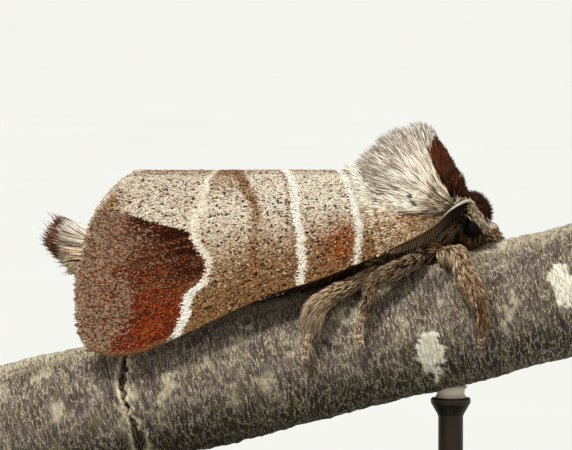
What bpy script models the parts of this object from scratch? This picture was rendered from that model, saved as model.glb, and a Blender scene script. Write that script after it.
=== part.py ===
"""Chocolate-tip moth at rest on a cut twig, as a life-size museum model on a small display stand.

The moth faces +X and rests along the twig, which rises gently towards its head.  The origin is
under the middle of the stand's base, +Z is up, and the moth's left side is at +Y.  Sizes are
written in millimetres and every mesh is turned to metres once, when its object is made.
"""

import math
import random

import bmesh
import bpy
from mathutils import Matrix, Vector

MM = 0.001
GAP = 0.3          # clear space kept between neighbouring pieces
MEMBRANE = 0.5     # thickness of a wing

# Display stand
BASE_LENGTH = 28.0
BASE_WIDTH = 14.0
BASE_HEIGHT = 1.6
BASE_CORNER = 3.0
BASE_EDGE = 0.35
ROD_RADIUS = 0.5
ROD_FLARE = 0.8
ROD_CUP = 0.42     # height of the foot and of the saddle
ROD_REAR_X = -7.4
ROD_FRONT_X = 6.6
ROD_CLEAR = GAP + 0.06   # gap to the twig, with room for its uneven bark

# Twig: a round stick whose axis crosses x = 0 at TWIG_Z and rises towards the head
TWIG_RADIUS = 2.66
TWIG_Z = 9.4
TWIG_RISE = 0.2515
TWIG_REACH = 12.2
TWIG_SIDES = 18
TWIG_STATIONS = 17
TWIG_SAWN_EDGE = 0.08
TWIG_SKIN = 0.05   # depth of the mean bark surface under the full radius
TWIG_WAVES = ((0.03, 2, 0.7), (0.025, 5, -1.3))   # height, turns round, turn along each mm

# Roof that the folded wings form: height of its ridge, height and half width of its lower edge
RIDGE_Z = [(-9.0, 17.05), (3.0, 17.05), (5.0, 17.0), (6.2, 16.75), (7.2, 16.1)]
EDGE_Z = [(-8.3, 10.65), (-7.6, 10.05), (-6.6, 9.87), (-5.6, 10.05), (-3.8, 10.83), (-0.8, 12.2),
          (1.3, 12.88), (2.7, 13.42), (4.8, 14.38), (6.7, 15.36)]
EDGE_Y = [(-8.3, 3.25), (-5.0, 3.2), (0.0, 2.85), (3.0, 2.6), (4.5, 2.4), (6.0, 1.85), (7.0, 1.2)]
ROOF_ROUND = 0.85  # share of the roof's section that is a quarter ellipse, the rest is straight
RIDGE_HALF_GAP = 0.5 * GAP

# Rear edge of the forewing: station x at each share of the way from ridge to lower edge
TERMEN_X = [(0.0, -5.7), (0.11, -6.26), (0.275, -7.06), (0.4, -7.6), (0.515, -7.86), (0.62, -7.98),
            (0.73, -8.2), (0.88, -8.2), (0.96, -8.1), (1.0, -7.75)]
FOREWING_FRONT_X = 3.0
FOREWING_FRONT_SLANT = 0.9
FOREWING_ROWS = [0.0, 0.16, 0.32, 0.47, 0.5, 0.53, 0.64, 0.76, 0.88, 1.0]
VEIN_HEIGHT = 0.13
VEIN_FLANK = 0.017
CELL_ROW = 0.5     # share of the wing's length where the cross vein closes the cell
# Veins of the forewing from the ridge down: share of the section at the front and at the rear,
# then the shares of the wing's length between which the vein stands out
FOREWING_VEINS = [(0.10, 0.075, 0.0, 1.0), (0.48, 0.24, 0.25, 1.0), (0.54, 0.37, 0.0, 1.0),
                  (0.60, 0.49, 0.5, 1.0), (0.66, 0.61, 0.5, 1.0), (0.73, 0.73, 0.0, 1.0),
                  (0.80, 0.85, 0.45, 1.0), (0.89, 0.95, 0.0, 0.8)]
FOREWING_FILL = [(0.23, 0.13), (0.36, 0.185)]
CELL_LINES = (0.54, 0.73)

# Hindwing, folded under the forewing
HINDWING_FRONT_X = 3.0
HINDWING_REAR_X = [(0.0, -4.6), (0.3, -5.9), (0.55, -6.3), (0.8, -6.0), (1.0, -5.2)]
HINDWING_ROWS = [0.0, 0.2, 0.4, 0.6, 0.8, 1.0]
HINDWING_SPREAD = [(0.0, 0.26, 0.56), (0.35, 0.05, 0.70), (1.0, 0.0, 0.82)]
HINDWING_VEINS = [(0.3, 0.22, 0.0, 1.0), (0.5, 0.45, 0.0, 1.0), (0.7, 0.7, 0.0, 1.0)]

# Abdomen: x, height of the axis, half width, half height
ABDOMEN = [(3.0, 14.25, 0.72, 0.85), (2.4, 14.15, 0.84, 1.05), (0.6, 13.85, 0.9, 1.22),
           (-1.6, 13.6, 0.94, 1.3), (-4.0, 13.45, 0.95, 1.25), (-6.0, 13.7, 0.84, 1.0),
           (-7.0, 13.85, 0.78, 0.8)]
ABDOMEN_RINGS = 7
ABDOMEN_SIDES = 14
RING_PINCH = 0.07

# Locks of hair: share of the full width and thickness at the root, the middle and near the tip
LOCK_WIDTH = (0.75, 1.0, 0.6)
LOCK_THICK = (1.0, 0.85, 0.55)
LOCK_BOW = 0.08
# Full width and thickness of one lock of each coat
CREST_LOCK = (0.78, 0.5)
SIDE_LOCK = (0.8, 0.44)
TAIL_LOCK = (0.64, 0.46)
HEAD_LOCK = (0.5, 0.45)
LEG_LOCK = (0.46, 0.4)
COMB_LOCK = (0.48, 0.42)
SEED = 11

# Tail tuft: x, height of the axis, half width and half height of its core
TAIL_X = ABDOMEN[-1][0] - GAP
TAIL_CORE = [(TAIL_X, 13.87, 0.62, 0.62), (-7.9, 13.93, 0.66, 0.64), (-8.4, 14.05, 0.55, 0.55),
             (-8.8, 14.15, 0.3, 0.3)]
# Rows of tail locks: x of the root, count, first turn in degrees, length, spread in degrees
TAIL_ROWS = [(-7.5, 8, 0.0, 1.6, 20.0), (-7.9, 8, 20.0, 1.55, 24.0), (-8.35, 6, 10.0, 1.4, 13.0)]
TAIL_LIFT = 0.16
TAIL_ROOT = 0.62   # share of the core's width at which a lock is rooted

# Thorax core: x, half width, height of the top, height of the underside
THORAX = [(3.3, 1.0, 15.95, 13.85), (3.45, 1.1, 16.1, 13.6), (4.1, 1.5, 17.1, 13.65),
          (4.8, 1.8, 17.5, 13.75), (5.6, 1.75, 17.6, 13.93), (6.2, 1.35, 17.2, 14.12),
          (6.6, 0.95, 16.7, 14.35), (6.75, 0.5, 16.2, 14.75)]
THORAX_AXIS_Z = 15.35
THORAX_SIDES = 16
# Crest of the thorax: its locks fan out from a point to an outline given as degrees and reach
CREST_CENTRE = (4.95, 16.3)
CREST_OUTLINE = [(5.0, 2.3), (15.0, 2.25), (27.0, 2.12), (50.0, 2.26), (61.0, 2.4), (73.0, 2.79),
                 (81.0, 2.79), (96.0, 2.6), (116.0, 2.53), (130.0, 2.41), (152.0, 2.15)]
# Rows of the crest: distance from the middle, share of the reach, first and last turn, count
CREST_ROWS = [(0.0, 1.0, 15.0, 146.0, 9), (0.42, 0.97, 16.0, 144.0, 8), (0.86, 0.85, 24.0, 148.0, 5)]
CREST_ROOT = 0.95
CREST_ROOT_OUTER = 0.71
CREST_TWIST = 0.8  # how far the broad face of a crest lock turns to the front or the rear
# Hair on the sides of the thorax, in rows that lie back along the roof: share of the way down
# the roof, then x of each root
SIDE_ROWS = [(0.22, (6.55, 5.6, 4.7)), (0.38, (6.8, 6.1, 5.3, 4.5)), (0.53, (6.6, 5.8, 4.9)),
             (0.66, (6.3, 5.4, 4.6)), (0.77, (5.7, 4.9))]
SIDE_LENGTH = 1.5
SIDE_CLEAR = 0.54  # height of a lock's middle line over the roof
SIDE_SINK = 0.35   # depth of its root under the roof

# Head
HEAD_CENTRE = (7.45, 0.0, 15.18)
HEAD_RADII = (0.38, 0.8, 0.68)
# Locks on the head: distance from the middle, then turns in degrees over the brow
HEAD_ROWS = [(0.0, (24.0, 53.0, 82.0)), (0.38, (20.0, 45.0, 70.0))]
HEAD_TUFT = 1.02   # reach of the tuft from the middle of the head
HEAD_TUFT_ROOT = 0.3
HEAD_TUFT_BACK = 0.15
EYE_CENTRE = (7.45, 0.93, 14.8)
EYE_RADIUS = 0.41
PALP_PATH = [((8.1, 0.42, 14.73), 0.24), ((8.25, 0.43, 14.73), 0.23), ((8.42, 0.44, 14.78), 0.14)]
PALP_SIDES = 8

# Antenna: the shaft runs back from the head along the side of the thorax
ANTENNA_PATH = [(7.43, 0.93, 15.82), (7.13, 1.47, 15.9), (6.5, 2.35, 15.6), (5.9, 2.85, 15.05),
                (5.2, 3.08, 14.62), (4.5, 3.12, 14.28), (4.1, 3.1, 14.08)]
ANTENNA_RADIUS = 0.25
ANTENNA_SIDES = 6
ANTENNA_STATIONS = 12
COMB_TEETH = 6
COMB_FIRST = 0.2   # shares of the shaft where the teeth begin and end
COMB_LAST = 0.86
COMB_LENGTH = 0.8
COMB_LEANS = (0.45, -0.15)

# Legs: points of the centre line with the radius there, on the side of positive y
FORE_RIGHT = [((6.2, 1.3, 13.85), 0.35), ((6.75, 2.2, 13.85), 0.42), ((7.1, 2.9, 13.05), 0.5),
              ((7.5, 3.3, 12.25), 0.46), ((7.68, 3.36, 11.75), 0.38), ((7.74, 3.28, 11.2), 0.3),
              ((7.68, 3.0, 10.2), 0.25)]
FORE_LEFT = [((6.3, 1.3, 13.9), 0.35), ((7.2, 2.0, 14.2), 0.4), ((8.3, 2.55, 14.2), 0.45),
             ((8.62, 3.15, 13.2), 0.42), ((8.5, 3.38, 12.1), 0.34), ((8.4, 3.28, 11.4), 0.28),
             ((8.35, 3.05, 10.5), 0.25)]
MIDDLE = [((5.3, 1.4, 13.72), 0.35), ((4.75, 2.1, 13.4), 0.45), ((3.95, 2.6, 13.05), 0.45),
          ((3.4, 2.75, 12.62), 0.36), ((3.22, 2.88, 11.75), 0.27), ((2.93, 3.05, 11.2), 0.25),
          ((2.85, 3.16, 10.7), 0.25), ((3.0, 3.2, 10.2), 0.25)]
HIND = [((3.7, 1.1, 13.3), 0.3), ((2.85, 1.8, 12.72), 0.35), ((2.05, 2.5, 12.38), 0.42),
        ((1.38, 2.8, 11.9), 0.5), ((1.15, 2.95, 11.35), 0.32), ((0.95, 3.05, 10.7), 0.25),
        ((0.72, 3.18, 10.1), 0.25), ((0.76, 3.22, 9.67), 0.25)]
LEG_SIDES = 8
LEG_CORE = 0.68    # share of a leg's thickness that is solid under its hair
LEG_THINNEST = 0.25
LEG_HAIRY = 0.31   # a leg carries locks where it is thicker than this
LEG_LOCKS = 3      # stations with locks along the hairy part
LEG_LOCK_TURNS = (-60.0, 0.0, 60.0)
LEG_LOCK_LENGTH = 0.78
LEG_LOCK_LIFT = 0.12


def clear_scene():
    for thing in list(bpy.data.objects):
        bpy.data.objects.remove(thing, do_unlink=True)


def linear(channel):
    """One sRGB channel, 0 to 255, as the linear value that a shader takes."""
    value = channel / 255.0
    if value <= 0.04045:
        return value / 12.92
    return ((value + 0.055) / 1.055) ** 2.4


def material(name, hex_colour, roughness, metallic=0.0):
    """Plain material with one colour given as six hex digits."""
    made = bpy.data.materials.new(name)
    made.use_nodes = True
    shader = made.node_tree.nodes["Principled BSDF"]
    channels = [linear(int(hex_colour[i:i + 2], 16)) for i in (0, 2, 4)]
    shader.inputs["Base Color"].default_value = (*channels, 1.0)
    shader.inputs["Roughness"].default_value = roughness
    shader.inputs["Metallic"].default_value = metallic
    made.diffuse_color = (*channels, 1.0)
    return made


def along(points, x):
    """Value at x of a smooth curve through (x, value) points; the ends hold level."""
    if points[0][0] > points[-1][0]:
        points = points[::-1]
    if x <= points[0][0]:
        return points[0][1]
    if x >= points[-1][0]:
        return points[-1][1]
    count = len(points)
    slopes = []
    for i in range(count):
        before = points[max(i - 1, 0)]
        after = points[min(i + 1, count - 1)]
        slopes.append((after[1] - before[1]) / (after[0] - before[0]))
    i = next(k for k in range(count - 1) if x <= points[k + 1][0])
    (x0, v0), (x1, v1) = points[i], points[i + 1]
    span = x1 - x0
    s = (x - x0) / span
    rise = v0 * (1 + 2 * s) * (1 - s) ** 2 + v1 * s * s * (3 - 2 * s)
    return rise + span * (slopes[i] * s * (1 - s) ** 2 - slopes[i + 1] * s * s * (1 - s))


def column(rows, index):
    """Pairs of the first value and one other value of each row."""
    return [(row[0], row[index]) for row in rows]


def loft(rings):
    """Closed mesh through rings of equal count; a ring of one point makes a pointed end."""
    mesh = bmesh.new()
    loops = [[mesh.verts.new(point) for point in ring] for ring in rings]
    for lower, upper in zip(loops, loops[1:]):
        count = max(len(lower), len(upper))
        for k in range(count):
            n = (k + 1) % count
            if len(lower) == 1:
                mesh.faces.new((lower[0], upper[k], upper[n]))
            elif len(upper) == 1:
                mesh.faces.new((lower[k], upper[0], lower[n]))
            else:
                mesh.faces.new((lower[k], upper[k], upper[n], lower[n]))
    for loop in (loops[0], loops[-1]):
        if len(loop) > 2:
            mesh.faces.new(loop)
    return mesh


def make_object(name, mesh, finish, origin=(0.0, 0.0, 0.0), smooth_angle=50.0):
    """Object from a mesh in millimetres, with its own origin point and outward faces."""
    bmesh.ops.recalc_face_normals(mesh, faces=mesh.faces)
    bmesh.ops.triangulate(mesh, faces=mesh.faces)
    data = bpy.data.meshes.new(name)
    mesh.to_mesh(data)
    mesh.free()
    data.transform(Matrix.Scale(MM, 4) @ Matrix.Translation(-Vector(origin)))
    data.shade_smooth()
    data.set_sharp_from_angle(angle=math.radians(smooth_angle))
    data.materials.append(finish)
    made = bpy.data.objects.new(name, data)
    made.location = Vector(origin) * MM
    bpy.context.scene.collection.objects.link(made)
    return made


def curve_through(points, count):
    """Smooth run of count stations through points that may carry a radius after the place."""
    stations = []
    last = len(points) - 1
    for k in range(count):
        place = k * last / (count - 1)
        i = min(int(place), last - 1)
        s = place - i
        four = [points[min(max(i + d, 0), last)] for d in (-1, 0, 1, 2)]
        weights = (-0.5 * s + s * s - 0.5 * s ** 3, 1 - 2.5 * s * s + 1.5 * s ** 3,
                   0.5 * s + 2 * s * s - 1.5 * s ** 3, -0.5 * s * s + 0.5 * s ** 3)
        centre = sum((Vector(p[0]) * w for p, w in zip(four, weights)), Vector())
        radius = sum(p[1] * w for p, w in zip(four, weights))
        stations.append((centre, radius))
    return stations


def round_tube(stations, sides, tip=0.0):
    """Tube of round rings square to its path; tip is how far a pointed end runs on."""
    rings = []
    across = None
    for k, (centre, radius) in enumerate(stations):
        before = stations[max(k - 1, 0)][0]
        after = stations[min(k + 1, len(stations) - 1)][0]
        ahead = (after - before).normalized()
        if across is None:
            across = ahead.orthogonal().normalized()
        across = (across - ahead * across.dot(ahead)).normalized()
        up = ahead.cross(across)
        ring = []
        for n in range(sides):
            turn = 2 * math.pi * n / sides
            ring.append(centre + radius * (math.cos(turn) * across + math.sin(turn) * up))
        rings.append(ring)
    if tip:
        rings.append([stations[-1][0] + ahead * tip])
    return loft(rings)


def oval_ring(x, half_width, top, bottom, middle, sides):
    """Ring square to x whose upper and lower halves may differ in height."""
    ring = []
    for n in range(sides):
        turn = 2 * math.pi * n / sides
        height = (top - middle) if math.sin(turn) > 0 else (middle - bottom)
        ring.append(Vector((x, half_width * math.cos(turn), middle + height * math.sin(turn))))
    return ring


def lock_mesh(path, flat, width, thick):
    """Flat lock that tapers along four points to a tip; flat is the way its broad face looks."""
    rings = []
    for k in range(3):
        ahead = (path[k + 1] - path[max(k - 1, 0)]).normalized()
        across = ahead.cross(flat).normalized()
        face = across.cross(ahead).normalized()
        half_width = 0.5 * width * LOCK_WIDTH[k]
        half_thick = 0.5 * thick * LOCK_THICK[k]
        rings.append([path[k] + across * half_width, path[k] + face * half_thick,
                      path[k] - across * half_width, path[k] - face * half_thick])
    rings.append([path[3]])
    return loft(rings)


def bent_path(root, tip, bow):
    """Four points from root to tip, bowed sideways by the vector bow."""
    return [root.lerp(tip, s) + bow * (4 * s * (1 - s)) for s in (0.0, 0.4, 0.75, 1.0)]


def fuse(body, pieces):
    """Joins closed pieces to a body in one union and keeps its largest closed surface."""
    group = bpy.data.collections.new(body.name + "_pieces")
    bpy.context.scene.collection.children.link(group)
    for k, piece in enumerate(pieces):
        bmesh.ops.recalc_face_normals(piece, faces=piece.faces)
        bmesh.ops.triangulate(piece, faces=piece.faces)
        data = bpy.data.meshes.new("piece")
        piece.to_mesh(data)
        piece.free()
        data.transform(Matrix.Scale(MM, 4) @ Matrix.Translation(-body.location / MM))
        thing = bpy.data.objects.new("piece_%03d" % k, data)
        thing.location = body.location
        group.objects.link(thing)
    join = body.modifiers.new("join", "BOOLEAN")
    join.operation = "UNION"
    join.operand_type = "COLLECTION"
    join.collection = group
    apply_modifiers(body)
    for thing in list(group.objects):
        bpy.data.objects.remove(thing, do_unlink=True)
    bpy.data.collections.remove(group)
    keep_largest(body)


def keep_largest(body):
    """Drops every closed surface of a mesh but the one with the most faces."""
    mesh = bmesh.new()
    mesh.from_mesh(body.data)
    mesh.faces.ensure_lookup_table()
    seen = set()
    groups = []
    for face in mesh.faces:
        if face.index in seen:
            continue
        group, waiting = [], [face]
        seen.add(face.index)
        while waiting:
            here = waiting.pop()
            group.append(here)
            for edge in here.edges:
                for other in edge.link_faces:
                    if other.index not in seen:
                        seen.add(other.index)
                        waiting.append(other)
        groups.append(group)
    groups.sort(key=len, reverse=True)
    loose = [face for group in groups[1:] for face in group]
    bmesh.ops.delete(mesh, geom=loose, context="FACES")
    bmesh.ops.triangulate(mesh, faces=mesh.faces)
    mesh.to_mesh(body.data)
    mesh.free()


def mirrored(points):
    """The same leg or feeler on the side of negative y."""
    return [((p[0][0], -p[0][1], p[0][2]), p[1]) for p in points]


def twig_axis_z(x):
    return TWIG_Z + TWIG_RISE * x


def twig_underside_z(x, y):
    """Height of the twig's lower surface over a point of the base."""
    tilt = math.cos(math.atan(TWIG_RISE))
    return twig_axis_z(x) - math.sqrt(TWIG_RADIUS ** 2 - y * y) / tilt


def roof_share(t):
    """How far out and how far down the roof is at a share t of the way from its ridge."""
    turn = 0.5 * math.pi * t
    out = ROOF_ROUND * math.sin(turn) + (1 - ROOF_ROUND) * t
    down = ROOF_ROUND * (1 - math.cos(turn)) + (1 - ROOF_ROUND) * t
    return out, down


def roof_point(x, t, depth=0.0):
    """Point of the wings' roof on the side of positive y, a given depth under its surface."""
    ridge, edge, reach = along(RIDGE_Z, x), along(EDGE_Z, x), along(EDGE_Y, x)

    def surface(share):
        out, down = roof_share(share)
        return Vector((RIDGE_HALF_GAP + (reach - RIDGE_HALF_GAP) * out, ridge - (ridge - edge) * down))

    here = surface(t)
    run = surface(t + 0.01) - surface(t - 0.01)
    outward = Vector((-run.y, run.x)).normalized()
    place = here - outward * depth
    return Vector((x, max(place.x, RIDGE_HALF_GAP), place.y))


def wing_lines(veins, fill):
    """Lines along a wing, each with its two shares and the stretch that is raised as a vein."""
    lines = [(0.0, 0.0, None), (1.0, 1.0, None)]
    for front, rear, start, end in veins:
        lines.append((front - VEIN_FLANK, rear - VEIN_FLANK, None))
        lines.append((front, rear, (start, end)))
        lines.append((front + VEIN_FLANK, rear + VEIN_FLANK, None))
    for front, rear in fill:
        lines.append((front, rear, None))
    return sorted(lines)


def shell(place, rows, lines, thickness, raised):
    """Closed sheet between an outer and an inner grid that are split into triangles alike."""
    mesh = bmesh.new()
    outer = [[mesh.verts.new(place(u, line, -raised(u, line))) for line in lines] for u in rows]
    inner = [[mesh.verts.new(place(u, line, thickness)) for line in lines] for u in rows]
    last_row, last_line = len(rows) - 1, len(lines) - 1
    for i in range(last_row):
        for j in range(last_line):
            for grid in (outer, inner):
                mesh.faces.new((grid[i][j], grid[i + 1][j], grid[i + 1][j + 1]))
                mesh.faces.new((grid[i][j], grid[i + 1][j + 1], grid[i][j + 1]))
    rim = [(i, 0) for i in range(last_row)] + [(last_row, j) for j in range(last_line)]
    rim += [(i, last_line) for i in range(last_row, 0, -1)] + [(0, j) for j in range(last_line, 0, -1)]
    for (i, j), (m, n) in zip(rim, rim[1:] + rim[:1]):
        mesh.faces.new((outer[i][j], outer[m][n], inner[m][n], inner[i][j]))
    return mesh


def forewing_mesh(side):
    lines = wing_lines(FOREWING_VEINS, FOREWING_FILL)

    def place(u, line, depth):
        t = line[0] + (line[1] - line[0]) * u
        front = FOREWING_FRONT_X + FOREWING_FRONT_SLANT * t
        x = front + (along(TERMEN_X, t) - front) * u
        point = roof_point(x, t, depth)
        return Vector((point.x, side * point.y, point.z))

    def raised(u, line):
        if line[2] and line[2][0] <= u <= line[2][1]:
            return VEIN_HEIGHT
        if u == CELL_ROW and CELL_LINES[0] < line[0] < CELL_LINES[1]:
            return VEIN_HEIGHT
        return 0.0

    return shell(place, FOREWING_ROWS, lines, MEMBRANE, raised)


def hindwing_mesh(side):
    lines = wing_lines(HINDWING_VEINS, [])
    outer_depth = MEMBRANE + GAP + 0.04

    def place(u, line, depth):
        share = line[0] + (line[1] - line[0]) * u
        upper = along(column(HINDWING_SPREAD, 1), u)
        lower = along(column(HINDWING_SPREAD, 2), u)
        t = upper + (lower - upper) * share
        x = HINDWING_FRONT_X + (along(HINDWING_REAR_X, share) - HINDWING_FRONT_X) * u
        point = roof_point(x, t, outer_depth + depth)
        return Vector((point.x, side * point.y, point.z))

    def raised(u, line):
        return 0.6 * VEIN_HEIGHT if line[2] else 0.0

    return shell(place, HINDWING_ROWS, lines, MEMBRANE, raised)


def perch_mesh():
    """Cut length of twig with a slightly uneven round and flat sawn ends."""
    slope = math.atan(TWIG_RISE)
    ahead = Vector((math.cos(slope), 0.0, math.sin(slope)))
    up = Vector((-math.sin(slope), 0.0, math.cos(slope)))
    half = TWIG_REACH / math.cos(slope)
    middle = Vector((0.0, 0.0, TWIG_Z))
    rings = []
    for k in range(TWIG_STATIONS):
        s = -half + 2 * half * k / (TWIG_STATIONS - 1)
        end = TWIG_SAWN_EDGE if k in (0, TWIG_STATIONS - 1) else 0.0
        ring = []
        for n in range(TWIG_SIDES):
            turn = 2 * math.pi * n / TWIG_SIDES
            uneven = sum(high * math.sin(n_round * turn + wind * s) for high, n_round, wind in TWIG_WAVES)
            radius = TWIG_RADIUS - TWIG_SKIN + uneven - end
            out = math.cos(turn) * Vector((0.0, 1.0, 0.0)) + math.sin(turn) * up
            ring.append(middle + ahead * s + radius * out)
        rings.append(ring)
    return loft(rings)


def base_mesh():
    """Flat plate with round corners and a small bevel along its upper and lower edges."""
    rings = []
    for z, inset in ((0.0, BASE_EDGE), (BASE_EDGE, 0.0), (BASE_HEIGHT - BASE_EDGE, 0.0),
                     (BASE_HEIGHT, BASE_EDGE)):
        ring = []
        corner = BASE_CORNER - inset
        for quarter in range(4):
            sx = 1 if quarter in (0, 3) else -1
            sy = 1 if quarter in (0, 1) else -1
            for step in range(6):
                turn = 0.5 * math.pi * (quarter + step / 5)
                ring.append(Vector((sx * (0.5 * BASE_LENGTH - BASE_CORNER) + corner * math.cos(turn),
                                    sy * (0.5 * BASE_WIDTH - BASE_CORNER) + corner * math.sin(turn), z)))
        rings.append(ring)
    return loft(rings)


def rod_mesh(x, sides=14):
    """Upright rod with a small foot and a saddle that follows the underside of the twig."""
    foot = BASE_HEIGHT + GAP
    head = twig_underside_z(x, 0.0) - ROD_CLEAR - ROD_CUP
    levels = [(foot, ROD_FLARE), (foot + ROD_CUP, ROD_FLARE), (foot + 2 * ROD_CUP, ROD_RADIUS),
              (head - ROD_CUP, ROD_RADIUS), (head, ROD_FLARE)]
    rings = []
    for z, radius in levels:
        rings.append([Vector((x + radius * math.cos(2 * math.pi * n / sides),
                              radius * math.sin(2 * math.pi * n / sides), z)) for n in range(sides)])
    top = []
    for point in rings[-1]:
        top.append(Vector((point.x, point.y, twig_underside_z(point.x, point.y) - ROD_CLEAR)))
    rings.append(top)
    return loft(rings)


def abdomen_mesh():
    """Tapering body whose rings are marked by shallow folds."""
    first, last = ABDOMEN[0][0], ABDOMEN[-1][0]
    rings = []
    steps = 2 * ABDOMEN_RINGS
    for k in range(steps + 1):
        x = first + (last - first) * k / steps
        pinch = 1.0 - (RING_PINCH if k % 2 == 0 else 0.0)
        z = along(column(ABDOMEN, 1), x)
        tall = pinch * along(column(ABDOMEN, 3), x)
        wide = pinch * along(column(ABDOMEN, 2), x)
        rings.append(oval_ring(x, wide, z + tall, z - tall, z, ABDOMEN_SIDES))
    return loft(rings)


def tail_core():
    rings = [oval_ring(x, wide, z + tall, z - tall, z, 12) for x, z, wide, tall in TAIL_CORE]
    return loft(rings)


def tail_locks():
    """Brush of locks that spread backwards from the end of the body."""
    draw = random.Random(SEED)
    locks = []
    for x, count, first, length, spread in TAIL_ROWS:
        z = along(column(TAIL_CORE, 1), x)
        size = along(column(TAIL_CORE, 2), x)
        for k in range(count):
            turn = math.radians(first + 360.0 * k / count)
            out = Vector((0.0, math.cos(turn), math.sin(turn)))
            lean = math.radians(spread * draw.uniform(0.8, 1.15))
            ahead = Vector((-math.cos(lean), 0.0, TAIL_LIFT)) + out * math.sin(lean)
            root = Vector((x, 0.0, z)) + out * size * TAIL_ROOT
            tip = root + ahead.normalized() * length * draw.uniform(0.86, 1.1)
            locks.append(lock_mesh(bent_path(root, tip, out * LOCK_BOW), out, *TAIL_LOCK))
    return locks


def thorax_core():
    rings = []
    for x, wide, top, bottom in THORAX:
        rings.append(oval_ring(x, wide, top, bottom, THORAX_AXIS_Z, THORAX_SIDES))
    return loft(rings)


def crest_locks():
    """Rows of locks that stand up from the back in a fan and lean to the rear."""
    draw = random.Random(SEED + 1)
    locks = []
    for offset, share, first, last, count in CREST_ROWS:
        for side in ((1,) if offset == 0.0 else (1, -1)):
            for k in range(count):
                degrees = first + (last - first) * (k + draw.uniform(-0.15, 0.15)) / (count - 1)
                reach = share * along(CREST_OUTLINE, degrees) * draw.uniform(0.96, 1.0)
                turn = math.radians(degrees)
                ray = Vector((math.cos(turn), 0.0, math.sin(turn)))
                middle = Vector((CREST_CENTRE[0], side * offset, CREST_CENTRE[1]))
                root = middle + ray * (CREST_ROOT_OUTER if offset > 0.5 else CREST_ROOT)
                tip = middle + ray * reach + Vector((0.0, side * offset * 0.12, 0.0))
                bow = Vector((ray.z, 0.0, -ray.x)) * LOCK_BOW
                twist = CREST_TWIST * (1 if k % 2 else -1) * draw.uniform(0.6, 1.2)
                flat = Vector((twist, 1.0, 0.0))
                locks.append(lock_mesh(bent_path(root, tip, bow), flat, *CREST_LOCK))
    return locks


def side_locks():
    """Hair of the thorax sides, which lies back over the roots of the wings."""
    draw = random.Random(SEED + 2)
    locks = []
    for t, starts in SIDE_ROWS:
        for x in starts:
            for side in (1, -1):
                length = SIDE_LENGTH * draw.uniform(0.9, 1.1)
                drift = draw.uniform(0.0, 0.03)
                places = ((0.0, 0.0, SIDE_SINK), (0.4, drift, 0.06 - SIDE_CLEAR),
                          (0.75, 2 * drift, -SIDE_CLEAR), (1.0, 2 * drift, -SIDE_CLEAR))
                path = [roof_point(x - length * s, t + d, depth) for s, d, depth in places]
                inner = roof_point(x - 0.4 * length, t, 0.4)
                outer = roof_point(x - 0.4 * length, t, 0.0)
                flat = outer - inner
                path = [Vector((p.x, side * p.y, p.z)) for p in path]
                flat.y *= side
                locks.append(lock_mesh(path, flat, *SIDE_LOCK))
    return locks


def ball_mesh(centre, radii, sides=16, rows=8):
    """Ellipsoid with its poles on the y axis."""
    rings = []
    for k in range(rows + 1):
        turn = math.pi * k / rows
        y = centre[1] - radii[1] * math.cos(turn)
        size = math.sin(turn)
        if k in (0, rows):
            rings.append([Vector((centre[0], y, centre[2]))])
            continue
        rings.append([Vector((centre[0] + radii[0] * size * math.cos(2 * math.pi * n / sides), y,
                              centre[2] + radii[2] * size * math.sin(2 * math.pi * n / sides)))
                      for n in range(sides)])
    return loft(rings)


def head_object(finish):
    """Head with its tuft and a round socket for each eye."""
    head = make_object("head", ball_mesh(HEAD_CENTRE, HEAD_RADII, 14, 7), finish, HEAD_CENTRE)
    fuse(head, head_locks())
    for side in (1, -1):
        centre = (EYE_CENTRE[0], side * EYE_CENTRE[1], EYE_CENTRE[2])
        radius = EYE_RADIUS + GAP
        socket = ball_mesh(centre, (radius, radius, radius), 14, 7)
        cut_away(head, make_object("socket_cutter", socket, finish))
    keep_largest(head)


def head_locks():
    """Dark tuft that stands forward and up from the brow."""
    draw = random.Random(SEED + 3)
    locks = []
    for offset, turns in HEAD_ROWS:
        for side in ((1,) if offset == 0.0 else (1, -1)):
            for degrees in turns:
                turn = math.radians(degrees + draw.uniform(-5.0, 5.0))
                ray = Vector((math.cos(turn), 0.0, math.sin(turn)))
                middle = Vector((HEAD_CENTRE[0] - HEAD_TUFT_BACK, side * offset, HEAD_CENTRE[2]))
                reach = HEAD_TUFT * draw.uniform(0.88, 1.0) * (1.0 - 0.25 * offset)
                bow = Vector((ray.z, 0.0, -ray.x)) * LOCK_BOW
                path = bent_path(middle + ray * HEAD_TUFT_ROOT, middle + ray * reach, bow)
                flat = Vector((draw.uniform(-0.6, 0.6), 1.0, 0.0))
                locks.append(lock_mesh(path, flat, *HEAD_LOCK))
    return locks


def cut_away(body, cutter):
    """Takes the cutter's shape out of the body and removes the cutter."""
    cut = body.modifiers.new("socket", "BOOLEAN")
    cut.operation = "DIFFERENCE"
    cut.object = cutter
    apply_modifiers(body)
    bpy.data.objects.remove(cutter, do_unlink=True)


def apply_modifiers(body):
    bpy.context.view_layer.update()
    evaluated = body.evaluated_get(bpy.context.evaluated_depsgraph_get())
    data = bpy.data.meshes.new_from_object(evaluated)
    body.modifiers.clear()
    body.data = data


def leg_core(points, stations=18):
    thin = [(place, max(radius * LEG_CORE, LEG_THINNEST)) for place, radius in points]
    return round_tube(curve_through(thin, stations), LEG_SIDES, 0.12)


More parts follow.
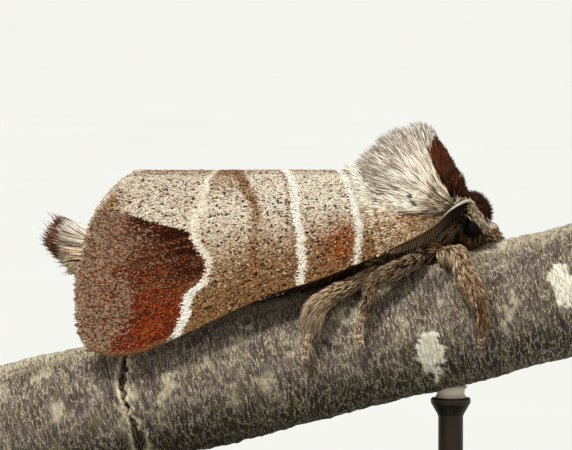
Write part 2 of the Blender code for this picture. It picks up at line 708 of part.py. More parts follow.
def leg_locks(points, draw):
    """Hair that lies down the leg on the sides that look away from the twig."""
    hairy = [point for point in points[1:] if point[1] > LEG_HAIRY]
    step = 4
    stations = curve_through(hairy, step * LEG_LOCKS + 1)
    locks = []
    for k in range(LEG_LOCKS):
        centre, radius = stations[step * k]
        ahead = (stations[step * k + 1][0] - centre).normalized()
        axis = Vector((centre.x, 0.0, twig_axis_z(centre.x)))
        away = centre - axis
        away = (away - ahead * away.dot(ahead)).normalized()
        for turn in LEG_LOCK_TURNS:
            out = Matrix.Rotation(math.radians(turn + draw.uniform(-8.0, 8.0)), 3, ahead) @ away
            length = LEG_LOCK_LENGTH * draw.uniform(0.9, 1.1)
            root = centre + out * radius * LEG_CORE * 0.5
            tip = centre + ahead * length + out * (radius + LEG_LOCK_LIFT)
            locks.append(lock_mesh(bent_path(root, tip, out * LOCK_BOW), out, *LEG_LOCK))
    return locks


def comb_teeth(points):
    """Teeth of the feeler's comb, which hang from the shaft in two rows."""
    last = 40
    stations = curve_through(points, last + 1)
    side = 1.0 if points[0][0][1] > 0 else -1.0
    teeth = []
    for k in range(COMB_TEETH):
        share = COMB_FIRST + (COMB_LAST - COMB_FIRST) * k / (COMB_TEETH - 1)
        i = int(share * last)
        centre = stations[i][0]
        ahead = (stations[i + 1][0] - stations[i - 1][0]).normalized()
        length = COMB_LENGTH * (0.6 + 0.4 * math.sin(math.pi * share))
        for lean in COMB_LEANS:
            down = Vector((-0.2, side * lean, -1.0)).normalized()
            path = bent_path(centre - down * 0.05, centre + down * length, ahead * 0.5 * LOCK_BOW)
            teeth.append(lock_mesh(path, ahead.cross(down), *COMB_LOCK))
    return teeth


def build_stand(finish):
    make_object("stand_base", base_mesh(), finish, smooth_angle=30.0)
    make_object("stand_rod_rear", rod_mesh(ROD_REAR_X), finish, (ROD_REAR_X, 0.0, BASE_HEIGHT))
    make_object("stand_rod_front", rod_mesh(ROD_FRONT_X), finish, (ROD_FRONT_X, 0.0, BASE_HEIGHT))


def build_wings(finish_fore, finish_hind):
    for side, word in ((1, "left"), (-1, "right")):
        root = (FOREWING_FRONT_X, side * along(EDGE_Y, FOREWING_FRONT_X), 15.0)
        make_object("forewing_" + word, forewing_mesh(side), finish_fore, root)
        make_object("hindwing_" + word, hindwing_mesh(side), finish_hind, root)


def build_feelers(finish):
    path = [(point, ANTENNA_RADIUS) for point in ANTENNA_PATH]
    for side, word in ((1, "left"), (-1, "right")):
        chosen = path if side > 0 else mirrored(path)
        shaft = round_tube(curve_through(chosen, ANTENNA_STATIONS), ANTENNA_SIDES, 0.2)
        fuse(make_object("antenna_" + word, shaft, finish, chosen[0][0]), comb_teeth(chosen))
        chosen = PALP_PATH if side > 0 else mirrored(PALP_PATH)
        palp = round_tube(curve_through(chosen, 4), PALP_SIDES, 0.1)
        make_object("palp_" + word, palp, finish, chosen[0][0])


def build_legs(finish):
    plan = {"leg_fore_left": FORE_LEFT, "leg_fore_right": mirrored(FORE_RIGHT),
            "leg_middle_left": MIDDLE, "leg_middle_right": mirrored(MIDDLE),
            "leg_hind_left": HIND, "leg_hind_right": mirrored(HIND)}
    draw = random.Random(SEED + 4)
    for name, points in plan.items():
        leg = make_object(name, leg_core(points), finish, points[0][0])
        fuse(leg, leg_locks(points, draw))


def main():
    clear_scene()
    bark = material("bark", "6f6468", 0.85)
    black_base = material("black_base", "2b2b2d", 0.5)
    grey_scales = material("grey_scales", "a59684", 0.8)
    under_wing = material("under_wing", "8d8276", 0.8)
    grey_hair = material("grey_hair", "b5a893", 0.85)
    brown_hair = material("brown_hair", "42261f", 0.85)
    pale_leg = material("pale_leg", "9c8b74", 0.85)
    eye_black = material("eye_black", "17110f", 0.25)
    build_stand(black_base)
    make_object("perch_twig", perch_mesh(), bark, (0.0, 0.0, TWIG_Z), smooth_angle=35.0)
    build_wings(grey_scales, under_wing)
    make_object("abdomen", abdomen_mesh(), under_wing, (ABDOMEN[0][0], 0.0, ABDOMEN[0][1]))
    tail = make_object("tail_tuft", tail_core(), brown_hair, (TAIL_X, 0.0, TAIL_CORE[0][1]))
    fuse(tail, tail_locks())
    thorax = make_object("thorax", thorax_core(), grey_hair, (THORAX[0][0], 0.0, THORAX_AXIS_Z))
    fuse(thorax, crest_locks() + side_locks())
    head_object(brown_hair)
    for side, word in ((1, "left"), (-1, "right")):
        centre = (EYE_CENTRE[0], side * EYE_CENTRE[1], EYE_CENTRE[2])
        radii = (EYE_RADIUS, EYE_RADIUS, EYE_RADIUS)
        make_object("eye_" + word, ball_mesh(centre, radii, 12, 6), eye_black, centre)
    build_feelers(grey_hair)
    build_legs(pale_leg)


main()
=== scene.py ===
"""Looks of the chocolate-tip moth on its cut twig: skin, hair, scales, wings, feelers, bark and stand.

Everything is built round the fixed frame of solids.  Sizes are worked out in millimetres and each
mesh is turned to metres once, when its piece is made.
"""

import math

import bmesh
import bpy
import numpy as np
from mathutils import Matrix, Vector, noise


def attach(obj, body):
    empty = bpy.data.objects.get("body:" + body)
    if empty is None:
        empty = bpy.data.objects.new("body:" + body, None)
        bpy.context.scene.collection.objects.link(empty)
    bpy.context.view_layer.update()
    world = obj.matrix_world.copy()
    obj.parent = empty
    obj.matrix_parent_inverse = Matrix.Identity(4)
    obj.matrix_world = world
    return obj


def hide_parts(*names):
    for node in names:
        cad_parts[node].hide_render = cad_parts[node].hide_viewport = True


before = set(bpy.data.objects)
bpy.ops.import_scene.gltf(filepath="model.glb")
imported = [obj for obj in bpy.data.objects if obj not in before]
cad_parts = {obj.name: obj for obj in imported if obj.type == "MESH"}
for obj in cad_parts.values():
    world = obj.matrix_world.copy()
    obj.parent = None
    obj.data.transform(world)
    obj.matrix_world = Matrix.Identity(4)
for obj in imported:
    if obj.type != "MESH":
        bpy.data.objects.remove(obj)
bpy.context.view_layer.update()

bl_info = {
    "name": "Chocolate-tip moth",
    "version": (1, 0, 0),
    "blender": (4, 5, 0),
    "location": "3D View > Sidebar > Moth",
    "description": "Builds the coat, wings, twig and stand of a life-size moth model",
    "category": "Object",
}

MM = 0.001
TONE = "Tone"      # colour of each point, read by the finishes of hair and scales
COAT_MAP = "OFBake"
PATCH = 0.003      # size of one hair's patch on the coat's map
HAIR_DEPTH = 1.4   # how far a hair's third side stands out, as a share of half its width
SCALE_THICK = 0.014
UNDER_SCALES = 5000
FRINGE_HAIRS = 3600
RIDGE_HAIRS = 4200
COMB_TEETH = 52    # teeth in one row of a feeler
SIDES = ((1.0, "left"), (-1.0, "right"))
SKIN = {}          # the skin's points and triangles, kept by its operator for those of the hair

# Stand
BASE_LONG = 28.0
BASE_WIDE = 14.0
BASE_THICK = 1.6
BASE_CORNER = 3.0
ROD_RADIUS = 0.5
ROD_FLARE = 0.8
ROD_CLEAR = 0.36
ROD_X_REAR = -7.4
ROD_X_FRONT = 6.6

# Twig: its axis crosses x = 0 at TWIG_Z and rises towards the head
TWIG_RADIUS = 2.66
TWIG_Z = 9.4
TWIG_RISE = 0.2515
TWIG_REACH = 12.2
TWIG_ROWS = 380
TWIG_SIDES = 184

# Roof that the folded wings form: height of its ridge, height and half width of its lower edge
RIDGE_Z = [(-9.0, 17.05), (3.0, 17.05), (5.0, 17.0), (6.2, 16.75), (7.2, 16.1)]
EDGE_Z = [(-8.3, 10.65), (-7.6, 10.05), (-6.6, 9.87), (-5.6, 10.05), (-3.8, 10.83), (-0.8, 12.2),
          (1.3, 12.88), (2.7, 13.42), (4.8, 14.38), (6.7, 15.36)]
EDGE_Y = [(-8.3, 3.25), (-5.0, 3.2), (0.0, 2.85), (3.0, 2.6), (4.5, 2.4), (6.0, 1.85), (7.0, 1.2)]
ROOF_ROUND = 0.85
RIDGE_HALF_GAP = 0.15
ROOF_SPAN = 7.2    # rough length of the wing's section from ridge to lower edge

# Rear edge of the forewing, then its front
TERMEN_X = [(0.0, -5.7), (0.11, -6.2), (0.275, -6.94), (0.4, -7.46), (0.515, -7.78), (0.62, -7.95),
            (0.73, -8.2), (0.88, -8.2), (0.96, -8.1), (1.0, -7.75)]
FOREWING_FRONT_X = 3.0
FOREWING_FRONT_SLANT = 0.9
FOREWING_VEINS = [(0.10, 0.075, 0.0, 1.0), (0.48, 0.24, 0.25, 1.0), (0.54, 0.37, 0.0, 1.0),
                  (0.60, 0.49, 0.5, 1.0), (0.66, 0.61, 0.5, 1.0), (0.73, 0.73, 0.0, 1.0),
                  (0.80, 0.85, 0.45, 1.0), (0.89, 0.95, 0.0, 0.8)]
HINDWING_FRONT_X = 3.0
HINDWING_REAR_X = [(0.0, -4.6), (0.3, -5.9), (0.55, -6.3), (0.8, -6.0), (1.0, -5.2)]
HINDWING_SPREAD = [(0.0, 0.26, 0.56), (0.35, 0.05, 0.70), (1.0, 0.0, 0.82)]
HINDWING_VEINS = [(0.3, 0.22, 0.0, 1.0), (0.5, 0.45, 0.0, 1.0), (0.7, 0.7, 0.0, 1.0)]
HINDWING_DEPTH = 0.84

# Markings of the forewing: station x of each line at shares of the way from ridge to lower edge
INNER_LINE = [(0.0, 2.2), (0.08, 2.27), (0.31, 2.58), (0.49, 2.77), (0.63, 2.87), (0.72, 2.97),
              (0.84, 2.94), (0.94, 2.87)]
MIDDLE_LINE = [(0.0, 0.05), (0.07, 0.15), (0.24, 0.35), (0.41, 0.44), (0.58, 0.5), (0.68, 0.65),
               (0.78, 0.65), (0.86, 0.73), (0.94, 0.65)]
SHADE_LINE = [(0.0, -1.75), (0.06, -1.68), (0.24, -1.43), (0.4, -1.11), (0.48, -0.97), (0.76, -1.11),
              (0.94, -1.22)]
OUTER_LINE = [(0.0, -2.66), (0.22, -3.06), (0.4, -3.28), (0.5, -3.56), (0.59, -3.52), (0.66, -3.22),
              (0.72, -2.96), (0.77, -3.02), (0.81, -3.25), (0.84, -3.68), (0.88, -3.86), (0.92, -3.9),
              (0.97, -4.15), (1.0, -4.3)]
OUTER_WIDTH = [(0.0, 0.16), (0.35, 0.28), (0.5, 0.3), (0.65, 0.24), (0.78, 0.22), (0.84, 0.34),
               (0.93, 0.38), (1.0, 0.3)]
PATCH_FRONT = [(0.37, -7.6), (0.385, -6.98), (0.41, -6.18), (0.46, -5.3), (0.5, -4.5), (0.54, -3.85),
               (0.62, -3.44), (0.69, -3.2), (0.76, -3.12), (0.81, -3.38), (0.84, -3.82), (0.88, -4.05),
               (0.93, -4.2), (0.97, -4.42), (1.0, -4.7)]

# Body: rings of the skin as x, axis height, half width and half height
ABDOMEN = [(3.9, 14.6, 0.8, 0.9), (3.0, 14.25, 0.72, 0.85), (2.4, 14.15, 0.84, 1.05),
           (0.6, 13.85, 0.9, 1.22), (-1.6, 13.6, 0.94, 1.3), (-4.0, 13.45, 0.95, 1.25),
           (-6.0, 13.7, 0.84, 1.0), (-7.0, 13.85, 0.72, 0.75), (-7.9, 13.93, 0.6, 0.6),
           (-8.5, 14.05, 0.42, 0.45), (-8.8, 14.1, 0.2, 0.2)]
ABDOMEN_RINGS = 7
ABDOMEN_FIRST_X = 3.0
ABDOMEN_LAST_X = -7.0
# Thorax with the core of its crest: x, half width, height of the top, height of the underside
THORAX = [(3.3, 0.9, 16.4, 13.95), (3.5, 1.1, 16.8, 13.7), (4.1, 1.5, 17.65, 13.72),
          (4.8, 1.75, 18.15, 13.8), (5.5, 1.72, 18.4, 13.95), (5.9, 1.5, 18.2, 14.05),
          (6.3, 1.2, 17.5, 14.2), (6.7, 0.85, 16.75, 14.4), (7.0, 0.6, 16.1, 14.6),
          (7.3, 0.5, 15.7, 14.8)]
THORAX_AXIS_Z = 15.35
SHOULDER_DEPTH = (0.1, 0.5)    # the skin's shelf under the hair that overhangs the wing roots
HAIR_FAN = (6.76, 15.7)        # x and z from which the hair of the thorax spreads
BAND_TOP = (5.9, 19.1)         # front edge of the crest, from its top to the neck
BAND_FOOT = (7.2, 16.2)
BAND_DEPTH = 0.72              # depth of the chocolate band behind that edge, and at the neck
BAND_NECK = 0.25
CREST_CENTRE = (4.95, 16.3)
CREST_OUTLINE = [(-8.0, 2.3), (5.0, 2.3), (15.0, 2.25), (27.0, 2.12), (50.0, 2.26), (61.0, 2.4),
                 (73.0, 2.79), (81.0, 2.79), (96.0, 2.6), (116.0, 2.53), (130.0, 2.38),
                 (140.0, 2.42), (156.0, 2.5), (170.0, 2.35)]
HEAD_CENTRE = (7.45, 0.0, 15.15)
HEAD_RADII = (0.36, 0.74, 0.62)
EYE_CENTRE = (7.45, 0.93, 14.8)
EYE_RADIUS = 0.41
PALP_PATH = [((7.8, 0.38, 14.85), 0.2), ((8.1, 0.42, 14.73), 0.22), ((8.25, 0.43, 14.73), 0.2),
             ((8.42, 0.44, 14.78), 0.12)]
ANTENNA_PATH = [(7.43, 0.93, 15.82), (7.13, 1.47, 15.9), (6.5, 2.35, 15.6), (5.9, 2.85, 15.05),
                (5.2, 3.08, 14.62), (4.5, 3.12, 14.28), (4.1, 3.1, 14.08)]

# Legs on the side of positive y: points of the centre line with the radius there
FORE_RIGHT = [((5.9, 0.8, 14.3), 0.3), ((6.2, 1.3, 13.85), 0.35), ((6.75, 2.2, 13.85), 0.42),
              ((7.1, 2.9, 13.05), 0.5), ((7.5, 3.3, 12.25), 0.46), ((7.68, 3.36, 11.75), 0.38),
              ((7.74, 3.28, 11.2), 0.3), ((7.68, 3.0, 10.2), 0.25)]
FORE_LEFT = [((6.0, 0.8, 14.3), 0.3), ((6.3, 1.3, 13.9), 0.35), ((7.2, 2.0, 14.2), 0.4),
             ((8.3, 2.55, 14.2), 0.45), ((8.62, 3.15, 13.2), 0.42), ((8.5, 3.38, 12.1), 0.34),
             ((8.4, 3.28, 11.4), 0.28), ((8.35, 3.05, 10.5), 0.25)]
MIDDLE = [((5.3, 0.8, 14.1), 0.3), ((5.3, 1.4, 13.72), 0.35), ((4.75, 2.1, 13.4), 0.45),
          ((3.95, 2.6, 13.05), 0.45), ((3.4, 2.75, 12.62), 0.36), ((3.22, 2.88, 11.75), 0.27),
          ((2.93, 3.05, 11.2), 0.25), ((2.85, 3.16, 10.7), 0.25), ((3.0, 3.2, 10.2), 0.25)]
HIND = [((3.9, 0.7, 14.0), 0.3), ((3.7, 1.1, 13.3), 0.3), ((2.85, 1.8, 12.72), 0.35),
        ((2.05, 2.5, 12.38), 0.42), ((1.38, 2.8, 11.9), 0.5), ((1.15, 2.95, 11.35), 0.32),
        ((0.95, 3.05, 10.7), 0.25), ((0.72, 3.18, 10.1), 0.25), ((0.76, 3.22, 9.67), 0.25)]
LEG_CORE = 0.62        # bare leg as a share of the hairy one
LEG_STATIONS = 90
FOOT_START = 0.7       # share of the leg at which its foot starts
FOOT_SHARE = 0.3
FOOT_JOINTS = 5

# Tips of the tail's brush: reach and height from its lowest hair (-1) to its highest (1)
TAIL_REACH_X = [(-1.0, -8.75), (-0.5, -9.4), (0.0, -9.75), (0.5, -9.65), (1.0, -9.2)]
TAIL_REACH_Z = [(-1.0, 13.1), (-0.5, 13.7), (0.0, 14.3), (0.5, 14.8), (1.0, 15.15)]

# Bark, as place along the axis and height over it; the side is that of the sign of y
BARK_CRUSTS = [(5.67, -0.94, -1, 0.55, 1.15), (11.4, 0.46, -1, 0.5, 1.0), (-4.5, 0.8, 1, 0.6, 0.9),
               (2.2, -0.3, 1, 0.5, 1.2)]
BARK_SPOTS = [(1.73, 0.58, -1, 0.12), (1.9, 0.35, -1, 0.15), (3.51, -1.63, -1, 0.12),
              (7.13, -0.96, -1, 0.1), (5.8, -1.45, -1, 0.08), (-2.36, 0.98, -1, 0.14),
              (-3.1, -0.63, -1, 0.13), (-3.2, -1.15, -1, 0.1), (-7.64, 1.61, -1, 0.11),
              (-7.0, 0.69, -1, 0.1), (-9.03, 0.18, -1, 0.1), (-7.06, -0.31, -1, 0.13),
              (-6.0, 0.4, 1, 0.12), (0.6, 1.2, 1, 0.13), (4.8, 0.2, 1, 0.1), (8.7, -0.8, 1, 0.12)]
BARK_SCARS = [(2.87, 1.34, -1, 0.34), (-1.14, 2.1, -1, 0.3), (6.5, 1.0, 1, 0.32)]
SPLIT_PLACE = [(-2.6, -6.35), (-1.2, -6.37), (0.08, -6.5), (1.15, -6.43), (1.93, -6.11), (2.4, -6.0)]
SPLIT_WIDTH = [(-2.6, 0.2), (-1.9, 0.42), (-1.2, 0.36), (-0.5, 0.06), (0.3, 0.1), (1.25, 0.26),
               (1.7, 0.2), (2.1, 0.1), (2.4, 0.05)]

# Camera of the photograph
VIEW_CENTRE = (0.0, 0.0, 14.88)
VIEW_RISE = 3.0
VIEW_DISTANCE = 200.0
VIEW_WIDTH = 22.88
SENSOR = 36.0
FLOOR_RADIUS = 20.0    # in metres


def linear(hex_colour):
    """sRGB colour given as six hex digits, as the linear values that a shader takes."""
    values = []
    for i in (0, 2, 4):
        value = int(hex_colour[i:i + 2], 16) / 255.0
        values.append(value / 12.92 if value <= 0.04045 else ((value + 0.055) / 1.055) ** 2.4)
    return tuple(values)


def tint(name, description, hex_colour):
    """Colour that a user may change, with its default given as six hex digits."""
    return bpy.props.FloatVectorProperty(name=name, description=description, subtype="COLOR", size=3,
                                         min=0.0, max=1.0, default=linear(hex_colour))


def length_value(name, description, millimetres):
    """Length that a user may change, with its default given in millimetres."""
    return bpy.props.FloatProperty(name=name, description=description, unit="LENGTH", precision=5,
                                   min=0.0, default=millimetres * MM)


class MothSizes(bpy.types.PropertyGroup):
    """Sizes of the hair, scales and wings."""

    voxel: length_value("Skin voxel", "Cell of the remesh that joins the skin", 0.08)
    hair_width: length_value("Hair width", "Width of one tuft of long hair", 0.043)
    scale_width: length_value("Scale width", "Width of one wing scale", 0.07)
    scale_length: length_value("Scale length", "Length of one wing scale", 0.14)
    wing_thickness: length_value("Wing thickness", "Thickness of a wing's membrane", 0.14)
    vein_height: length_value("Vein height", "Height of a vein over the membrane", 0.035)
    comb_length: length_value("Comb length", "Length of the feeler's longest teeth", 0.78)
    bark_relief: length_value("Bark relief", "Depth of the cracks in the bark", 0.05)
    crest_hairs: bpy.props.IntProperty(name="Crest hairs", description="Tufts on the crest", default=19500)
    side_hairs: bpy.props.IntProperty(name="Side hairs", description="Tufts on the sides", default=19500)
    head_hairs: bpy.props.IntProperty(name="Head hairs", description="Tufts on the head", default=9000)
    leg_hairs: bpy.props.IntProperty(name="Leg hairs", description="Tufts on the legs", default=19500)
    body_hairs: bpy.props.IntProperty(name="Body hairs", description="Tufts under the wings", default=12000)
    tail_hairs: bpy.props.IntProperty(name="Tail hairs", description="Tufts of the tail", default=8000)
    wing_scales: bpy.props.IntProperty(name="Wing scales", description="Scales on one wing", default=32000)


class MothColours(bpy.types.PropertyGroup):
    """Colours of the coat, the markings and the eyes."""

    white: tint("White", "The thick pale line by the chocolate patch", "f8f2e4")
    cream: tint("Cream", "Palest hair and ground scales", "efe3cc")
    buff: tint("Buff", "Middle tone of the ground", "bf9f78")
    brown: tint("Brown", "Dark tone of the ground", "7d5a3a")
    fleck: tint("Fleck", "Dark flecks on the pale ground", "2e1c12")
    chestnut: tint("Chestnut", "Orange-brown patch near the wing's root", "985020")
    rust: tint("Rust", "Bright part of the tip patch", "a83f14")
    maroon: tint("Maroon", "Middle tone of the tip patch", "652b15")
    umber: tint("Umber", "Middle tone of the dark hair", "4a270e")
    chocolate: tint("Chocolate", "Darkest part of the tip patch and crest", "230e07")
    mauve: tint("Mauve", "Grey bloom on the tip patch", "84706a")
    grey: tint("Grey", "Grey-brown band at the wing's rear edge", "b0967b")
    eye: tint("Eye", "Eye", "0c0706")
    horn: tint("Horn", "Claws and the shafts under the hair", "3a2618")


class TwigColours(bpy.types.PropertyGroup):
    """Colours of the bark and what grows on it."""

    bark: tint("Bark", "Purplish grey of the bark", "61534c")
    wine: tint("Wine", "Dark reddish patches of the bark", "43292a")
    pale: tint("Pale crack", "Pale lines across the bark", "e0d2b0")
    dark: tint("Dark crack", "Deepest cracks", "1d1510")
    algae: tint("Algae", "Yellow-green film in the cracks", "76701f")
    lichen: tint("Lichen", "Pale crust", "ece5cf")
    wood: tint("Wood", "Sawn ends and split bark", "bfa27b")


def millimetres(settings, key):
    """Length of a setting in millimetres."""
    return getattr(settings, key) / MM


def tone(settings, key):
    """Colour of a setting as an array."""
    return np.array(getattr(settings, key))


def smooth_step(low, high, value):
    """Share from 0 to 1 that changes smoothly as a value goes from low to high."""
    share = np.clip((np.asarray(value, float) - low) / (high - low), 0.0, 1.0)
    return share * share * (3.0 - 2.0 * share)


def mixed(first, second, share):
    """Rows of colours or points between two others."""
    return first + (second - first) * np.asarray(share)[..., None]


def drift_of(points, size, seed):
    """Smooth drift between about -1 and 1 over lengths of about size."""
    draw = np.random.default_rng(seed)
    total = np.zeros(len(points))
    for _ in range(7):
        way = draw.normal(size=points.shape[1])
        way *= draw.uniform(0.7, 1.5) * 2 * np.pi / (size * np.linalg.norm(way))
        total += np.sin(points @ way + draw.uniform(0, 2 * np.pi))
    return total / 3.0


def clumps(root, size, seed):
    """Push that leans neighbouring hairs the same way."""
    return np.stack([drift_of(root, size, seed + k) for k in range(3)], axis=-1)


def unit(rows):
    """Rows scaled to a length of 1."""
    return rows / np.maximum(np.linalg.norm(rows, axis=-1, keepdims=True), 1e-9)


def spot_at(points, centre, widths, power=2):
    """Soft spot seen from the side, 1 at its centre; centre and widths are those along x and z."""
    return np.exp(-((points[:, 0] - centre[0]) / widths[0]) ** power
                  - ((points[:, 2] - centre[1]) / widths[1]) ** power)


def pick_tone(colours, pick, **shares):
    """Colour for each random pick between 0 and 1; shares say how often each colour comes up."""
    total = sum(np.broadcast_to(share, pick.shape) for share in shares.values())
    chosen = np.tile(tone(colours, list(shares)[-1]), (len(pick), 1))
    low = np.zeros(len(pick))
    for key, share in shares.items():
        high = low + share / total
        chosen[(pick >= low) & (pick < high)] = tone(colours, key)
        low = high
    return chosen


def even_tone(colours, **shares):
    """Colour that pick_tone gives on average."""
    total = sum(shares.values())
    return sum((share / total)[:, None] * tone(colours, key) for key, share in shares.items())


def along(points, x):
    """Values at x of a smooth curve through (x, value) points; the ends hold level."""
    ordered = sorted(points)
    places = np.array([point[0] for point in ordered], float)
    values = np.array([point[1] for point in ordered], float)
    slopes = np.gradient(values, places)
    slopes[1:-1] = (values[2:] - values[:-2]) / (places[2:] - places[:-2])
    x = np.clip(np.asarray(x, float), places[0], places[-1])
    i = np.clip(np.searchsorted(places, x, side="right") - 1, 0, len(places) - 2)
    span = places[i + 1] - places[i]
    s = (x - places[i]) / span
    rise = values[i] * (1 + 2 * s) * (1 - s) ** 2 + values[i + 1] * s * s * (3 - 2 * s)
    return rise + span * (slopes[i] * s * (1 - s) ** 2 - slopes[i + 1] * s * s * (1 - s))


def column(rows, index):
    """Points of a curve from the first value of each row and another one."""
    return [(row[0], row[index]) for row in rows]


def roof_section(x, t):
    """Half width and height of the wings' roof at a share t of the way down."""
    turn = 0.5 * math.pi * t
    out = ROOF_ROUND * np.sin(turn) + (1 - ROOF_ROUND) * t
    down = ROOF_ROUND * (1 - np.cos(turn)) + (1 - ROOF_ROUND) * t
    reach = along(EDGE_Y, x)
    ridge = along(RIDGE_Z, x)
    wide = RIDGE_HALF_GAP + (reach - RIDGE_HALF_GAP) * out
    return wide, ridge - (ridge - along(EDGE_Z, x)) * down


def roof_out(x, t, side=1.0):
    """Outward direction of the roof on the side of the sign of side."""
    wide_a, high_a = roof_section(x, t - 0.01)
    wide_b, high_b = roof_section(x, t + 0.01)
    return unit(np.stack([np.zeros_like(wide_a), (high_a - high_b) * side, wide_b - wide_a], axis=-1))


def roof(x, t, depth=0.0, side=1.0):
    """Points of the roof at a depth under its surface, on the side of the sign of side."""
    x, t = np.broadcast_arrays(np.asarray(x, float), np.asarray(t, float))
    wide, high = roof_section(x, t)
    points = np.stack([x, wide, high], axis=-1) - roof_out(x, t) * np.asarray(depth)[..., None]
    points[..., 1] *= side
    return points


def wing_front(t):
    """Station x at which the forewing comes out of the hair of the thorax."""
    return FOREWING_FRONT_X + FOREWING_FRONT_SLANT * t


def wing_station(u, t, gap=0.0):
    """Station x at a share u of the way from the forewing's front to its rear edge."""
    front = wing_front(t) + gap
    return front + (along(TERMEN_X, t) - front) * u


def wing_place(x, t):
    """Place of a hair or scale of the forewing on the coat's map."""
    return np.stack([(x + 8.5) / 13.0, t], axis=-1) * 0.99


def twig_axis_z(x):
    """Height of the twig's axis."""
    return TWIG_Z + TWIG_RISE * x


def make_piece(name, points, faces, finish, tones=None, places=None, smooth=True):
    """Piece from points in millimetres and faces of equal size, with a colour and a place on the
    coat's map for each point where they are given."""
    mesh = bpy.data.meshes.new(name)
    count, sides = faces.shape
    mesh.vertices.add(len(points))
    mesh.vertices.foreach_set("co", (points * MM).astype(np.float32).ravel())
    mesh.loops.add(count * sides)
    mesh.loops.foreach_set("vertex_index", faces.astype(np.int32).ravel())
    mesh.polygons.add(count)
    mesh.polygons.foreach_set("loop_start", np.arange(0, count * sides, sides, dtype=np.int32))
    mesh.update(calc_edges=True)
    mesh.validate()
    if tones is not None:
        layer = mesh.attributes.new(TONE, "FLOAT_COLOR", "POINT")
        rows = np.column_stack([tones, np.ones(len(tones))]).astype(np.float32)
        layer.data.foreach_set("color", rows.ravel())
    if places is not None:
        held = mesh.uv_layers.new(name=COAT_MAP)
        held.uv.foreach_set("vector", places[faces.ravel()].astype(np.float32).ravel())
    if smooth:
        mesh.shade_smooth()
    mesh.materials.append(finish)
    piece = bpy.data.objects.new(name, mesh)
    bpy.context.scene.collection.objects.link(piece)
    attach(piece, "root")
    return piece


def ring_quads(rows, sides):
    """Four-sided faces between neighbouring rings of points that are numbered ring by ring."""
    index = np.arange(rows * sides).reshape(rows, sides)
    turned = np.roll(index, -1, axis=1)
    return np.stack([index[:-1], turned[:-1], turned[1:], index[1:]], axis=-1).reshape(-1, 4)


def grow_hair(name, finish, root, start, end, length, width, face, base, tip, place,
              fade=(0.0, 1.0), rings=2):
    """Closed three-sided hairs that taper to a tip.

    The arguments from root to place have a row for each hair: its root, its directions at the
    start and the end, its length and width, the way its flat side looks, the colours of its base
    and tip, and its place on the coat's map.  The base's colour turns into the tip's between the
    two shares of the length in fade.
    """
    start, end = unit(start), unit(end)
    length = np.asarray(length)[:, None]
    half = 0.5 * np.asarray(width)[:, None]
    count, size = len(root), 3 * rings + 1
    points, tones = np.empty((count, size, 3)), np.empty((count, size, 3))
    places = np.empty((count, size, 2))
    for k in range(rings + 1):
        s = k / rings
        centre = root + length * (start * s + (end - start) * 0.5 * s * s)
        shade = mixed(base, tip, smooth_step(*fade, s))
        if k == rings:
            points[:, -1], tones[:, -1] = centre, shade
            places[:, -1] = place + PATCH * np.array([0.5, 1.0])
            continue
        ahead = unit(start + (end - start) * s)
        across = unit(np.cross(ahead, face))
        up = np.cross(across, ahead)
        wide = half * (0.75 if k == 0 else 1.0 - 0.55 * (s - 1.0 / rings))
        for n, offset in enumerate((across * wide, -across * wide, up * wide * HAIR_DEPTH)):
            points[:, 3 * k + n] = centre + offset
            tones[:, 3 * k + n] = shade
            places[:, 3 * k + n] = place + PATCH * np.array([(0.0, 1.0, 0.5)[n], s])
    faces = [(0, 2, 1)]
    for k in range(rings - 1):
        for i in range(3):
            j = (i + 1) % 3
            faces.append((3 * k + i, 3 * k + j, 3 * k + 3 + j))
            faces.append((3 * k + i, 3 * k + 3 + j, 3 * k + 3 + i))
    last = 3 * (rings - 1)
    faces += [(last + i, last + (i + 1) % 3, size - 1) for i in range(3)]
    return joined(name, finish, points, np.array(faces), tones, places)


def lay_scales(name, finish, root, ahead, out, length, width, lift, shown, place):
    """Closed flat scales: narrow at the root, widest past the middle, with a blunt tip."""
    out = unit(out)
    ahead = unit(ahead)
    across = unit(np.cross(ahead, out))
    half = 0.5 * width[:, None]
    # The last number of each point is its tone: the root is painted 30 % darker, as painted shade under the
    # scale that overlaps it, and the raised tip 8 % lighter, as a painted highlight.
    outline = ((0.0, 0.0, 0.0, 0.7), (0.62, 1.0, 0.7, 1.0), (0.62, -1.0, 0.7, 1.0),
               (0.5, 0.0, 0.6, 0.95), (1.0, 0.0, 1.0, 1.08))
    points, tones = np.empty((len(root), 5, 3)), np.empty((len(root), 5, 3))
    places = np.empty((len(root), 5, 2))
    for n, (s, w, h, shade) in enumerate(outline):
        raised = lift[:, None] * h + (SCALE_THICK if n == 3 else 0.0)
        points[:, n] = root + ahead * length[:, None] * s + across * half * w + out * raised
        tones[:, n] = shown * shade
        places[:, n] = place + PATCH * np.array([0.5 + 0.5 * w, s])
    faces = np.array([(0, 3, 1), (1, 3, 4), (4, 3, 2), (2, 3, 0), (0, 1, 2), (1, 4, 2)])
    return joined(name, finish, points, faces, tones, places)


def joined(name, finish, points, faces, tones, places):
    """One piece of many like small closed shapes."""
    count, size = points.shape[:2]
    every = (faces[None] + size * np.arange(count)[:, None, None]).reshape(-1, faces.shape[1])
    return make_piece(name, points.reshape(-1, 3), every, finish, tones.reshape(-1, 3),
                      places.reshape(-1, 2), smooth=False)


def add(tree, kind, settings=None, links=None):
    """Adds a node, gives its options and sockets their values and links its inputs."""
    node = tree.nodes.new(kind)
    for key, value in (settings or {}).items():
        if isinstance(key, int) or key in node.inputs:
            node.inputs[key].default_value = value
        else:
            setattr(node, key, value)
    for key, source in (links or {}).items():
        tree.links.new(source, node.inputs[key])
    return node


